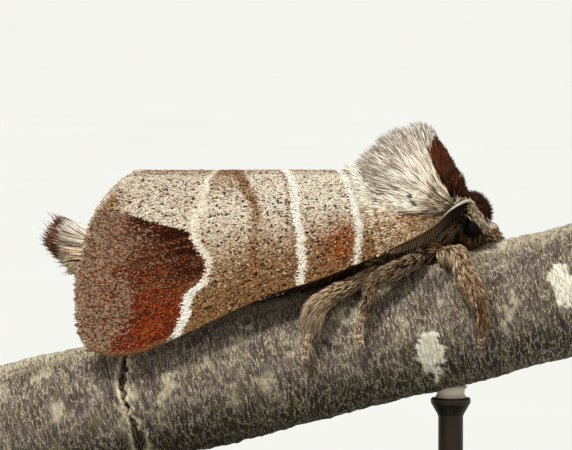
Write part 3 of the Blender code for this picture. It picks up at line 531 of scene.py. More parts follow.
def new_finish(name, roughness, **sockets):
    """Material with a Principled shader whose steady values sit on its own sockets.

    Returns it with its tree, its shader and the places that its textures read.
    """
    made = bpy.data.materials.new(name)
    made.use_nodes = True
    tree = made.node_tree
    shader = tree.nodes["Principled BSDF"]
    shader.inputs["Roughness"].default_value = roughness
    for key, value in sockets.items():
        shader.inputs[key.replace("_", " ")].default_value = value
    return made, tree, shader, add(tree, "ShaderNodeTexCoord").outputs["Object"]


def per_mm(size):
    """Texture scale that makes one feature as large as size millimetres."""
    return 1.0 / (size * MM)


def noise_at(tree, place, size, detail=2.0):
    """Value of a noise whose features are as large as size millimetres."""
    made = add(tree, "ShaderNodeTexNoise", {"Scale": per_mm(size), "Detail": detail}, {"Vector": place})
    return made.outputs["Fac"]


def between(tree, value, low, high):
    """Value that runs from low to high as another runs from 0 to 1."""
    made = add(tree, "ShaderNodeMapRange", {"To Min": low, "To Max": high}, {"Value": value})
    return made.outputs["Result"]


def set_ramp(tree, shader, value, first, last):
    """Base colour that runs from the first colour to the last as a value runs from 0 to 1."""
    ramp = add(tree, "ShaderNodeValToRGB", None, {"Fac": value})
    ramp.color_ramp.elements[0].color = (*first, 1.0)
    ramp.color_ramp.elements[1].color = (*last, 1.0)
    tree.links.new(ramp.outputs["Color"], shader.inputs["Base Color"])


def set_held_tone(tree, shader, level):
    """Base colour that each point of the mesh holds, made darker or lighter by level."""
    held = add(tree, "ShaderNodeAttribute", {"attribute_name": TONE})
    shaded = add(tree, "ShaderNodeVectorMath", {"operation": "SCALE"},
                 {0: held.outputs["Vector"], "Scale": level})
    tree.links.new(shaded.outputs["Vector"], shader.inputs["Base Color"])


def set_bump(tree, shader, height, strength, depth, invert=False):
    """Fine relief, with its depth in millimetres."""
    bump = add(tree, "ShaderNodeBump", {"Strength": strength, "Distance": depth * MM, "invert": invert},
               {"Height": height})
    tree.links.new(bump.outputs["Normal"], shader.inputs["Normal"])


def coat_finish(name, roughness, streak, depth=0.35):
    """Chitin hair or scales with natural pigment: the colour drifts a little over each tuft, and
    the fine ribs along it break the highlight, so it looks dry and downy."""
    made, tree, shader, place = new_finish(name, roughness, Specular_IOR_Level=0.08)
    set_held_tone(tree, shader, between(tree, noise_at(tree, place, streak, 3.0), 1.0 - depth, 1.0 + depth))
    set_bump(tree, shader, noise_at(tree, place, 0.03, 1.0), 0.25, 0.01)
    return made


def skin_mesh(voxel):
    """One closed skin, in millimetres, remeshed from the forms of the body, head and legs."""
    mesh = bmesh.new()
    add_loft(mesh, body_rings(140, 28))
    add_loft(mesh, thorax_rings(40, 28))
    add_ball(mesh, HEAD_CENTRE, HEAD_RADII)
    for side in (1.0, -1.0):
        add_loft(mesh, tube_rings(*stations(PALP_PATH, 10, side), 12))
        add_shell(mesh, side)
    for points, side in leg_plan().values():
        centres, radii = stations(points, 70, side)
        add_loft(mesh, tube_rings(centres, leg_radii(radii), 14))
    bmesh.ops.recalc_face_normals(mesh, faces=mesh.faces)
    data = bpy.data.meshes.new("skin_form")
    mesh.to_mesh(data)
    mesh.free()
    form = bpy.data.objects.new("skin_form", data)
    bpy.context.scene.collection.objects.link(form)
    remesh = form.modifiers.new("join", "REMESH")
    remesh.mode = "VOXEL"
    remesh.voxel_size = voxel
    soften = form.modifiers.new("soften", "SMOOTH")
    soften.factor = 0.5
    soften.iterations = 3
    bpy.context.view_layer.update()
    made = bpy.data.meshes.new_from_object(form.evaluated_get(bpy.context.evaluated_depsgraph_get()))
    bpy.data.objects.remove(form)
    bpy.data.meshes.remove(data)
    return made


def add_loft(mesh, rings):
    """Adds a closed tube through rings of equal count."""
    loops = [[mesh.verts.new(point) for point in ring] for ring in rings]
    for lower, upper in zip(loops, loops[1:]):
        for k in range(len(lower)):
            n = (k + 1) % len(lower)
            mesh.faces.new((lower[k], lower[n], upper[n], upper[k]))
    mesh.faces.new(loops[0][::-1])
    mesh.faces.new(loops[-1])


def add_shell(mesh, side):
    """Adds the shelf that carries the hair over the root of one wing."""
    share, t = np.meshgrid(np.linspace(0, 1, 26), np.linspace(0.15, 0.96, 20), indexing="ij")
    rear = FOREWING_FRONT_X + 0.3 + FOREWING_FRONT_SLANT * t
    x = rear + (6.9 - rear) * share
    grids = [roof(x, t, depth, side) for depth in SHOULDER_DEPTH]
    rows, lines = x.shape
    made = [[[mesh.verts.new(grid[i, j]) for j in range(lines)] for i in range(rows)] for grid in grids]
    for layer in made:
        for i in range(rows - 1):
            for j in range(lines - 1):
                mesh.faces.new((layer[i][j], layer[i + 1][j], layer[i + 1][j + 1], layer[i][j + 1]))
    rim = ([(i, 0) for i in range(rows - 1)] + [(rows - 1, j) for j in range(lines - 1)]
           + [(i, lines - 1) for i in range(rows - 1, 0, -1)] + [(0, j) for j in range(lines - 1, 0, -1)])
    for (i, j), (m, n) in zip(rim, rim[1:] + rim[:1]):
        mesh.faces.new((made[0][i][j], made[0][m][n], made[1][m][n], made[1][i][j]))


def add_ball(mesh, centre, radii):
    """Adds a closed ball with three half axes."""
    place = Matrix.Translation(centre) @ Matrix.Diagonal((*radii, 1.0))
    bmesh.ops.create_uvsphere(mesh, u_segments=32, v_segments=20, radius=1.0, matrix=place)


def oval(x, wide, top, bottom, middle, sides):
    """Ring of points across the body, widest at the height of its middle."""
    turn = 2 * np.pi * np.arange(sides) / sides
    high = np.where(np.sin(turn) > 0, top - middle, middle - bottom)
    return np.stack([np.full(sides, x), wide * np.cos(turn), middle + high * np.sin(turn)], axis=-1)


def body_rings(count, sides):
    """Abdomen and tail, with a fold where each ring of the abdomen meets the next."""
    rings = []
    for x in np.linspace(ABDOMEN[0][0], ABDOMEN[-1][0], count):
        z, wide, tall = (float(along(column(ABDOMEN, k), x)) for k in (1, 2, 3))
        share = (x - ABDOMEN_FIRST_X) / (ABDOMEN_LAST_X - ABDOMEN_FIRST_X) * ABDOMEN_RINGS
        fold = 0.94 + 0.04 * abs(math.sin(math.pi * share)) ** 0.5 if 0 < share < ABDOMEN_RINGS else 0.95
        rings.append(oval(x, wide * fold, z + tall * fold, z - tall * fold, z, sides))
    return rings


def thorax_rings(count, sides):
    """Thorax with the core of its crest."""
    rings = []
    for x in np.linspace(THORAX[0][0], THORAX[-1][0], count):
        wide, top, bottom = (float(along(column(THORAX, k), x)) for k in (1, 2, 3))
        rings.append(oval(x, wide, top, bottom, THORAX_AXIS_Z, sides))
    return rings


def stations(points, count, side):
    """Even run of centres and radii along a smooth line through points that carry a radius."""
    rows = np.array([(*place, radius) for place, radius in points])
    rows[:, 1] *= side
    last = len(rows) - 1
    place = np.linspace(0.0, last, count)
    i = np.minimum(place.astype(int), last - 1)
    s = (place - i)[:, None]
    a, b, c, d = (rows[np.clip(i + k, 0, last)] for k in (-1, 0, 1, 2))
    run = (a * (-0.5 * s + s * s - 0.5 * s ** 3) + b * (1 - 2.5 * s * s + 1.5 * s ** 3)
           + c * (0.5 * s + 2 * s * s - 1.5 * s ** 3) + d * (-0.5 * s * s + 0.5 * s ** 3))
    return run[:, :3], run[:, 3]


def foot_wave(share):
    """Wave along the foot that is 1 at its joints and -1 between them."""
    return np.cos(2 * np.pi * FOOT_JOINTS * (share - FOOT_START) / FOOT_SHARE)


def leg_radii(radii):
    """Bare leg under its hair: thinner than the hair, with the joints of the foot swollen."""
    count = len(radii)
    share = np.arange(count) / (count - 1)
    foot = smooth_step(0.62, 0.7, share)
    ripple = 1.0 + 0.22 * foot * foot_wave(share)
    return np.where(foot > 0, np.minimum(radii * LEG_CORE, 0.135), radii * LEG_CORE) * ripple


def tube_rings(centres, radii, sides):
    """Rings of points square to a line, for a round tube."""
    ahead = unit(np.gradient(centres, axis=0))
    across = unit(np.cross(ahead[0], (0.0, 0.0, 1.0)))
    rings = []
    turn = 2 * np.pi * np.arange(sides)[:, None] / sides
    for centre, radius, way in zip(centres, radii, ahead):
        across = unit(across - way * np.dot(across, way))
        up = np.cross(way, across)
        rings.append(centre + radius * (np.cos(turn) * across + np.sin(turn) * up))
    return rings


def leg_plan():
    """Points and side of each leg; the left foreleg is held further forward."""
    return {"fore_left": (FORE_LEFT, 1.0), "fore_right": (FORE_RIGHT, -1.0),
            "middle_left": (MIDDLE, 1.0), "middle_right": (MIDDLE, -1.0),
            "hind_left": (HIND, 1.0), "hind_right": (HIND, -1.0)}


def mesh_arrays(mesh):
    """Points and triangles of a mesh, which is then removed."""
    mesh.calc_loop_triangles()
    points = np.empty(len(mesh.vertices) * 3, np.float32)
    mesh.vertices.foreach_get("co", points)
    faces = np.empty(len(mesh.loop_triangles) * 3, np.int32)
    mesh.loop_triangles.foreach_get("vertices", faces)
    bpy.data.meshes.remove(mesh)
    return points.reshape(-1, 3).astype(float), faces.reshape(-1, 3)


def form_arrays(form):
    """Points and triangles of a form under construction, which is then freed."""
    mesh = bpy.data.meshes.new("form")
    form.to_mesh(mesh)
    form.free()
    return mesh_arrays(mesh)


def loft_arrays(rings):
    """Points and triangles of a closed tube through rings of equal count."""
    form = bmesh.new()
    add_loft(form, rings)
    return form_arrays(form)


def scatter(points, faces, count, draw, keep):
    """Random places spread evenly over the triangles that keep accepts, with their normals."""
    a, b, c = (points[faces[:, k]] for k in range(3))
    chosen = keep((a + b + c) / 3.0)
    a, b, c = a[chosen], b[chosen], c[chosen]
    normals = np.cross(b - a, c - a)
    area = np.linalg.norm(normals, axis=1)
    index = draw.choice(len(area), count, p=area / area.sum())
    root = np.sqrt(draw.random(count))[:, None]
    swing = draw.random(count)[:, None]
    places = a[index] * (1 - root) + b[index] * root * (1 - swing) + c[index] * root * swing
    return places, unit(normals[index])


def barrel_place(points, low, high, axis_z):
    """Place on the coat's map: length along x, and turn round the body's axis."""
    turn = np.arctan2(points[:, 1], points[:, 2] - axis_z) / (2 * np.pi) + 0.5
    share = np.clip((points[:, 0] - low) / (high - low), 0.0, 1.0)
    return np.stack([share, turn], axis=-1) * 0.98604


def leg_distance(points):
    """Distance to the nearest leg's line, with the direction, share and radius there and the
    number of that leg."""
    best = np.full(len(points), 1e9)
    way = np.zeros((len(points), 3))
    share, radius = np.zeros(len(points)), np.zeros(len(points))
    which = np.zeros(len(points), int)
    for n, (line, side) in enumerate(leg_plan().values()):
        centres, radii = stations(line, LEG_STATIONS, side)
        ahead = unit(np.gradient(centres, axis=0))
        gap = np.linalg.norm(points[:, None] - centres[None], axis=2)
        i = gap.argmin(axis=1)
        near = gap.min(axis=1)
        better = near < best
        i = i[better]
        best[better], which[better] = near[better], n
        way[better], share[better], radius[better] = ahead[i], i / (LEG_STATIONS - 1), radii[i]
    return best, way, share, radius, which


def on_leg(points):
    """Whether points lie on a leg and not on the body beside it."""
    best, _, share, radius, _ = leg_distance(points)
    return (best < radius * 1.05 + 0.05) & (share > 0.13)


def line_mask(line, x, t, width, soft=0.05):
    """How much a marking line that crosses the wing covers each place."""
    middle = along(line, t)
    slope = (along(line, t + 0.01) - along(line, t - 0.01)) / (0.02 * ROOF_SPAN)
    gap = np.abs(x - middle) / np.sqrt(1 + slope * slope)
    return 1.0 - smooth_step(0.5 * width - soft, 0.5 * width + soft, gap)


def moved(line, step):
    """Marking line at another station."""
    return [(t, x + step) for t, x in line]


def blob(x, t, centre_x, centre_t, long, tall):
    """Soft oval spot on the wing; its half axes are in millimetres."""
    return np.exp(-((x - centre_x) / long) ** 2 - ((t - centre_t) * ROOF_SPAN / tall) ** 2)


def ground_tone(colours, x, t, pick):
    """Mixed cream, buff and brown scales, browner towards the lower edge."""
    low = smooth_step(0.42, 0.95, t)
    behind_shade = smooth_step(-0.1, 0.12, along(SHADE_LINE, t) - x)
    before_outer = smooth_step(-0.1, 0.1, x - along(OUTER_LINE, t))
    cloud = behind_shade * before_outer * (1.0 - smooth_step(0.08, 0.45, t))
    shade = line_mask(moved(SHADE_LINE, -0.13), x, t, 0.3, 0.2) * (1.0 - 0.6 * smooth_step(0.42, 0.6, t))
    behind = smooth_step(0.1, 0.4, along(OUTER_LINE, t) - x)
    # Darker along the ridge: partly the scales' own brown flecks, partly painted shade where the two wings
    # meet.
    ridge = 1.0 - smooth_step(0.04, 0.14, t)
    corner = blob(x, t, -7.0, 0.34, 0.55, 0.7) + blob(x, t, -7.9, 0.42, 0.5, 0.9)
    dark = 0.7 * cloud + 1.35 * shade + 0.95 * low * (1 - behind) + 0.12 * behind + 0.512 * ridge
    dark = np.clip(dark + 0.9 * corner, 0.0, 1.0)
    shares = {"white": 0.25 * (1 - dark), "cream": 0.6 * (1 - dark) ** 1.5 + 0.02,
              "buff": 0.34 + 0.1 * dark, "brown": 0.03 + 0.8 * dark}
    shown = mixed(even_tone(colours, **shares), pick_tone(colours, pick, **shares), 0.55)
    warm = np.clip(dark * (0.35 + 0.65 * low), 0.0, 1.0)
    return shown * (1.0 - warm[:, None] * np.array([0.06, 0.2, 0.38]))


def flecked(x, t, cell, size, share):
    """Whether places fall on the small round flecks strewn over the wing, at most one to a cell."""
    a, b = x / cell, t * ROOF_SPAN / cell
    i, j = np.floor(a), np.floor(b)
    one = np.sin(i * 12.9898 + j * 78.233) * 43758.5453 % 1.0
    two = np.sin(i * 39.346 + j * 11.135) * 24634.6345 % 1.0
    gap = np.hypot(a - i - 0.2 - 0.6 * one, b - j - 0.2 - 0.6 * two) * cell
    return (gap < size * (0.7 + 0.6 * two)) & (one * 7.3 % 1.0 < share)


def tip_tone(colours, x, t, pick, pick_two):
    """Chocolate patch: near black at its upper front, rust below, greyed towards the rear edge."""
    depth = np.clip(along(PATCH_FRONT, t) - x, 0.0, 9.0)
    rear = x - along(TERMEN_X, t)
    streak = (0.5 + 0.5 * np.sin(t * 92.0 + 2.5 * np.sin(t * 31.0) + 0.9 * np.sin(2.6 * x))) ** 2
    dusk = blob(x, t, -5.5, 0.53, 0.8, 0.7) + 0.8 * blob(x, t, -5.3, 0.68, 0.9, 0.4)
    black = (1.0 - smooth_step(0.4, 1.9, depth)) * (1.0 - smooth_step(0.7, 0.82, t))
    black = black * smooth_step(-6.6, -5.2, x) * (0.45 + 0.75 * (1 - streak)) + 0.32 * dusk
    black = np.clip(black, 0.0, 1.0)
    rust = blob(x, t, -5.1, 0.93, 1.1, 1.1) + 0.45 * blob(x, t, -6.7, 0.62, 0.8, 1.5)
    rust = rust + 0.8 * blob(x, t, -6.3, 0.99, 0.9, 0.5) + 0.35 * streak
    grey = 0.9 * blob(x, t, -6.35, 0.82, 0.4, 0.9) + 0.6 * blob(x, t, -5.6, 0.54, 0.6, 0.5)
    grey = grey + 1.1 * (1.0 - smooth_step(0.2, 1.5, rear)) + 0.3 * (1.0 - smooth_step(1.2, 2.8, rear))
    grey = np.clip(grey + 0.45 * blob(x, t, -6.95, 0.88, 0.5, 1.0), 0.0, 1.0)
    corner = (1.0 - smooth_step(-6.8, -5.6, x)) * (1.0 - smooth_step(0.5, 0.7, t))
    glow = np.clip(1.5 * rust * smooth_step(0.6, 0.8, t), 0.0, 1.0)
    shares = {"rust": (0.16 + 0.8 * rust) * (1.0 - 0.6 * grey),
              "chestnut": 0.16 - 0.08 * glow + 0.1 * grey,
              "maroon": 0.36 + 0.3 * glow,
              "chocolate": 0.2 + 2.8 * black + 0.3 * corner + 0.3 * glow,
              "brown": 0.95 * (1 - black) * (1 - 0.9 * glow) + 1.1 * corner}
    inner = mixed(even_tone(colours, **shares), pick_tone(colours, pick, **shares),
                  0.62 - 0.25 * black + 0.15 * glow) * (1.0 - 0.3 * black)[:, None]
    bloom = pick_tone(colours, pick_two * 7.0 % 1.0, mauve=0.1, grey=0.55, brown=0.13, fleck=0.22)
    bloom = mixed(bloom, tone(colours, "brown") * 1.35, 0.7 - 0.7 * smooth_step(0.0, 0.5, grey))
    dusted = pick_two < (0.36 * (1 - 0.85 * glow) + 0.5 * grey) * (1 - 0.95 * black)
    return mixed(inner, bloom, 0.62 * dusted)


def wing_tone(colours, x, t, draw=None):
    """Colour of the forewing at station x and share t; without draw it has no random grain."""
    count = len(x)
    pick, pick_two, fleck = np.full(count, 0.5), np.full(count, 0.5), np.ones(count)
    if draw:
        pick, pick_two, fleck = (draw.random(count) for _ in range(3))
        x = x + draw.normal(0.0, 0.04, count)
    brown, cream, white = (tone(colours, key) for key in ("brown", "cream", "white"))
    shown = ground_tone(colours, x, t, pick)
    chestnut = blob(x, t, 2.45, 0.8, 0.85, 0.85) * (1 - smooth_step(2.6, 3.0, x)) * smooth_step(0.6, 0.9, x)
    shown = mixed(shown, tone(colours, "chestnut"), np.clip(1.4 * chestnut, 0, 1) * (pick_two < 0.7))
    if draw:
        strewn = flecked(x, t, 0.25, 0.05, 0.65) | flecked(x + 0.11, t + 0.013, 0.3, 0.04, 0.6)
        shown = mixed(shown, tone(colours, "fleck"), 0.95 * strewn)
    shown = mixed(shown, tone(colours, "fleck"), 0.8 * (fleck < 0.02 + 0.12 * smooth_step(0.5, 0.9, t)))
    line = np.maximum(line_mask(INNER_LINE, x, t, 0.26), line_mask(MIDDLE_LINE, x, t, 0.34))
    shown = mixed(shown, mixed(cream, white, 1.0 - 0.7 * smooth_step(0.5, 0.9, t)), 0.95 * line)
    shown = mixed(shown, brown, 0.6 * line_mask(moved(MIDDLE_LINE, -0.26), x, t, 0.12))
    margin = (1.0 - smooth_step(0.04, 0.26, x - along(TERMEN_X, t))) * (1.0 - smooth_step(0.38, 0.5, t))
    shown = mixed(shown, cream * 0.9, 0.8 * margin * (pick_two < 0.6))
    inside = smooth_step(-0.03, 0.03, along(PATCH_FRONT, t) - x) * smooth_step(0.365, 0.385, t)
    shown = mixed(shown, tip_tone(colours, x, t, pick, pick_two), inside)
    shown = mixed(shown, brown * 1.1, 0.7 * inside * smooth_step(0.975, 0.988, t))
    bright = mixed(cream * 1.1, white * 1.05, smooth_step(0.78, 0.84, t))
    return mixed(shown, bright, 0.95 * line_mask(OUTER_LINE, x, t, along(OUTER_WIDTH, t)))


def sheet_piece(name, finish, outer, inner, tones):
    """Closed sheet between two grids of points, the outer one first."""
    rows, lines = outer.shape[:2]
    index = np.arange(rows * lines).reshape(rows, lines)
    a, b, c, d = index[:-1, :-1], index[1:, :-1], index[1:, 1:], index[:-1, 1:]
    upper = np.stack([a, b, c, d], axis=-1).reshape(-1, 4)
    lower = np.stack([a, d, c, b], axis=-1).reshape(-1, 4) + rows * lines
    rim = np.concatenate([index[:-1, 0], index[-1, :-1], index[:0:-1, -1], index[0, :0:-1]])
    after = np.roll(rim, -1)
    edge = np.stack([rim, rim + rows * lines, after + rows * lines, after], axis=-1)
    points = np.concatenate([outer.reshape(-1, 3), inner.reshape(-1, 3)])
    faces = np.concatenate([upper, lower, edge])
    if outer[0, 0, 1] < 0:
        faces = faces[:, ::-1]
    return make_piece(name, points, faces, finish, tones)


def vein_relief(veins, u, t_line, spread=0.014):
    """Share of the full vein height at each place of a wing's grid."""
    high = np.zeros_like(u)
    for front, rear, start, end in veins:
        middle = front + (rear - front) * u
        gate = smooth_step(start - 0.03, start + 0.03, u) * (1.0 - smooth_step(end - 0.02, end + 0.02, u))
        high = np.maximum(high, gate * np.exp(-((t_line - middle) / spread) ** 2))
    return high


class MOTH_OT_skin(bpy.types.Operator):
    """Make the one skin that carries the coat of the body, head and legs"""

    bl_idname = "moth.skin"
    bl_label = "Skin"

    def execute(self, context):
        sizes, colours = context.scene.moth_sizes, context.scene.moth_colours
        points, faces = mesh_arrays(skin_mesh(millimetres(sizes, "voxel")))
        if len(points) == 0:
            raise RuntimeError("the skin came out empty")
        SKIN["form"] = (points, faces)
        thorax = smooth_step(15.2, 15.5, points[:, 2]) * smooth_step(3.2, 3.4, points[:, 0])
        thorax = thorax * (1 - smooth_step(6.8, 7.0, points[:, 0]))
        tones = mixed(tone(colours, "brown") * 0.4, tone(colours, "buff"), thorax)
        front = smooth_step(-0.95, -0.75, before_band(points)) * smooth_step(15.6, 16.2, points[:, 2])
        tones = mixed(tones, tone(colours, "umber") * 0.6, front)
        piece = make_piece("moth_skin", points, faces, coat_finish("skin_cuticle", 0.6, 0.3), tones)
        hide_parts("head", "thorax", "abdomen", "tail_tuft", "palp_left", "palp_right",
                    *("leg_" + name for name in leg_plan()))
        return {"FINISHED"}


def hair_lie(root, out, lift):
    """Way that the thorax hair runs: away from the neck, close to the body, raised by lift."""
    fan = root - np.array([HAIR_FAN[0], 0.0, HAIR_FAN[1]])
    fan[:, 1] = 0.0
    along_body = unit(fan) - out * np.clip(np.sum(unit(fan) * out, axis=1), None, 0.0)[:, None]
    return unit(unit(along_body) + out * np.asarray(lift)[:, None])


def crest_share(points):
    """How far out of the crest's centre points lie, where 1 is its outline."""
    dx, dz = points[..., 0] - CREST_CENTRE[0], points[..., 2] - CREST_CENTRE[1]
    shrink = np.sqrt(np.clip(1.0 - (points[..., 1] / 2.35) ** 2, 0.15, 1.0))
    turn = np.degrees(np.arctan2(dz, dx))
    return np.hypot(dx, dz) / (along(CREST_OUTLINE, turn) * shrink)


def crest_reach(root, way):
    """Length at which a hair meets the crest's outline."""
    steps = np.linspace(0.1, 1.5, 29)
    reach = np.full(len(root), steps[-1])
    for step in steps[::-1]:
        reach = np.where(crest_share(root + way * step) >= 1.0, step, reach)
    return np.clip(reach, 0.3, 1.35)


def before_band(points):
    """Distance of points in front of the crest's front edge, negative behind it."""
    run = np.array(BAND_FOOT) - np.array(BAND_TOP)
    run = run / np.linalg.norm(run)
    return (points[:, 0] - BAND_TOP[0]) * -run[1] + (points[:, 2] - BAND_TOP[1]) * run[0]


def near_neck(points):
    """Share of the speckled patch in front of the wing root, beside the neck."""
    return (smooth_step(5.5, 6.4, points[:, 0] + 0.4 * (16.0 - points[:, 2]))
            * (1.0 - smooth_step(16.1, 16.8, points[:, 2])))


def thorax_tones(colours, root, tip, pick, low):
    """Colours of the thorax hair; low is 1 where the coat is short and speckled."""
    low = np.maximum(low, 0.62 * near_neck(root))
    shown = pick_tone(colours, pick, cream=0.86 - 0.6 * low, buff=0.09 + 0.16 * low, brown=0.05 + 0.44 * low)
    shown = mixed(shown, tone(colours, "white"), (1 - 0.85 * low) * (pick * 9.0 % 1.0 < 0.55))
    shown = shown * (1.0 - low[:, None] * np.array([0.04, 0.12, 0.24]))
    spot = spot_at(tip, (4.82, 16.12), (0.12, 0.12)) + spot_at(tip, (4.93, 15.85), (0.1, 0.16))
    rusty = spot_at(tip, (4.55, 15.25), (0.12, 0.14))
    shown = mixed(shown, tone(colours, "umber") * 0.8, (spot > 0.15 + 0.75 * pick) * 0.9)
    return mixed(shown, tone(colours, "chestnut"), (rusty > 0.6) * 0.7)


def in_band(tip, draw):
    """Whether hair tips belong to the chocolate band, which narrows down to the neck and leaves
    the very top of the crest pale."""
    depth = BAND_NECK + (BAND_DEPTH - BAND_NECK) * smooth_step(15.9, 16.9, tip[:, 2])
    depth = depth * (1.0 - smooth_step(18.1, 18.75, tip[:, 2] + draw.normal(0.0, 0.08, len(tip))))
    return before_band(tip) + draw.normal(0.0, 0.04, len(tip)) > 0.3 * (depth < 0.02) - depth


def by_spot(root):
    """How much the hair is shortened, so that the dark spot of the thorax stays in sight."""
    return 0.68 * spot_at(root, (5.25, 15.98), (0.62, 0.36), 4)


class MOTH_OT_crest(bpy.types.Operator):
    """Grow the hair of the back and its crest, with the chocolate band down the front"""

    bl_idname = "moth.crest"
    bl_label = "Crest"

    def execute(self, context):
        sizes, colours = context.scene.moth_sizes, context.scene.moth_colours
        draw = np.random.default_rng(31)
        count = sizes.crest_hairs

        def back(place):
            return (place[:, 2] > 15.5) & (place[:, 0] > 3.3) & (place[:, 0] < 7.2)

        root, out = scatter(*SKIN["form"], count, draw, back)
        band = smooth_step(-0.9, -0.5, before_band(root))
        way = hair_lie(root, out, 0.2 + 0.3 * band + draw.uniform(0.0, 0.2, count))
        clump = clumps(root, 0.45, 1)
        way = unit(way + 0.13 * clump + draw.normal(0.0, 0.05, (count, 3)))
        layer = draw.uniform(0.45, 1.03, count) + 0.06 * clump[:, 0]
        length = np.clip(crest_reach(root, way) * layer, 0.2, 1.2) * (1.0 - by_spot(root))
        tip = root + way * length[:, None]
        dark = in_band(tip, draw)[:, None]
        pick = draw.random(count)
        light = thorax_tones(colours, root, tip, pick, np.zeros(count))
        deep = pick_tone(colours, pick, maroon=0.2, umber=0.45, chocolate=0.35)
        deep = deep * (1.15 - 0.35 * smooth_step(17.8, 16.4, tip[:, 2]))[:, None]
        rim = (crest_share(tip) > 0.86) & (draw.random(count) < 0.65)
        high = smooth_step(18.1, 18.7, tip[:, 2])
        edge = mixed(tone(colours, "brown") * 0.7, tone(colours, "umber"), high)
        base = mixed(light * 0.95, edge, rim * 0.35 * high) * (1.0 - 0.5 * near_neck(root))[:, None]
        piece = grow_hair("coat_crest", coat_finish("crest_hair", 0.55, 0.4, 0.25), root,
                          start=way, end=unit(way + 0.25 * hair_lie(root, out, np.zeros(count))),
                          length=length,
                          width=millimetres(sizes, "hair_width") * draw.uniform(0.7, 1.25, count),
                          face=out + draw.normal(0.0, 0.3, (count, 3)), base=np.where(dark, deep * 0.5, base),
                          tip=np.where(dark, deep, mixed(light, edge, rim * 0.85)), fade=(0.0, 0.85),
                          place=barrel_place(root, 3.3, 7.2, THORAX_AXIS_Z))
        return {"FINISHED"}


class MOTH_OT_sides(bpy.types.Operator):
    """Grow the hair of the thorax sides, which flows back over the roots of the wings"""

    bl_idname = "moth.sides"
    bl_label = "Side hair"

    def execute(self, context):
        sizes, colours = context.scene.moth_sizes, context.scene.moth_colours
        draw = np.random.default_rng(37)
        count = sizes.side_hairs
        side = np.where(draw.random(count) < 0.5, 1.0, -1.0)
        t = 0.02 + 0.99 * draw.random(count) ** 0.8
        front = wing_front(t)
        x = front - 0.25 + (7.3 - front) * draw.random(count)
        root = roof(x, t, np.where(x < front, -0.02, 0.08), side)
        out = roof_out(x, t, side)
        low = smooth_step(0.45, 0.75, t + 0.05 * draw.normal(size=count))
        way = hair_lie(root, out, draw.uniform(0.12, 0.4, count))
        way = way + (0.14 - 0.05 * low)[:, None] * clumps(root, 0.45, 4)
        way = unit(way + draw.normal(0.0, 0.05, (count, 3)))
        length = (0.62 - 0.48 * low) * draw.uniform(0.7, 1.2, count)
        length = length * (1.0 - 0.4 * smooth_step(6.0, 7.0, x)) * (1.0 - by_spot(root))
        tip = root + way * length[:, None]
        shown = thorax_tones(colours, root, tip, draw.random(count), low)
        deep = pick_tone(colours, draw.random(count), umber=0.5, chocolate=0.5)
        banded = in_band(tip, draw) & (tip[:, 2] > 15.9)
        shown = np.where(banded[:, None], deep, shown)
        place = np.stack([(x - 3.0) / 4.1, 0.25 * t + 0.37 * (side + 1.0)], axis=-1) * 0.99
        piece = grow_hair("coat_sides", coat_finish("side_hair", 0.6, 0.4, 0.25), root,
                          start=way, end=way - 0.25 * out, length=length,
                          width=millimetres(sizes, "hair_width") * draw.uniform(0.7, 1.25, count), face=out,
                          base=shown * (0.88 - 0.68 * near_neck(root))[:, None], tip=shown * 1.04,
                          place=place, fade=(-0.2, 1.0))
        return {"FINISHED"}


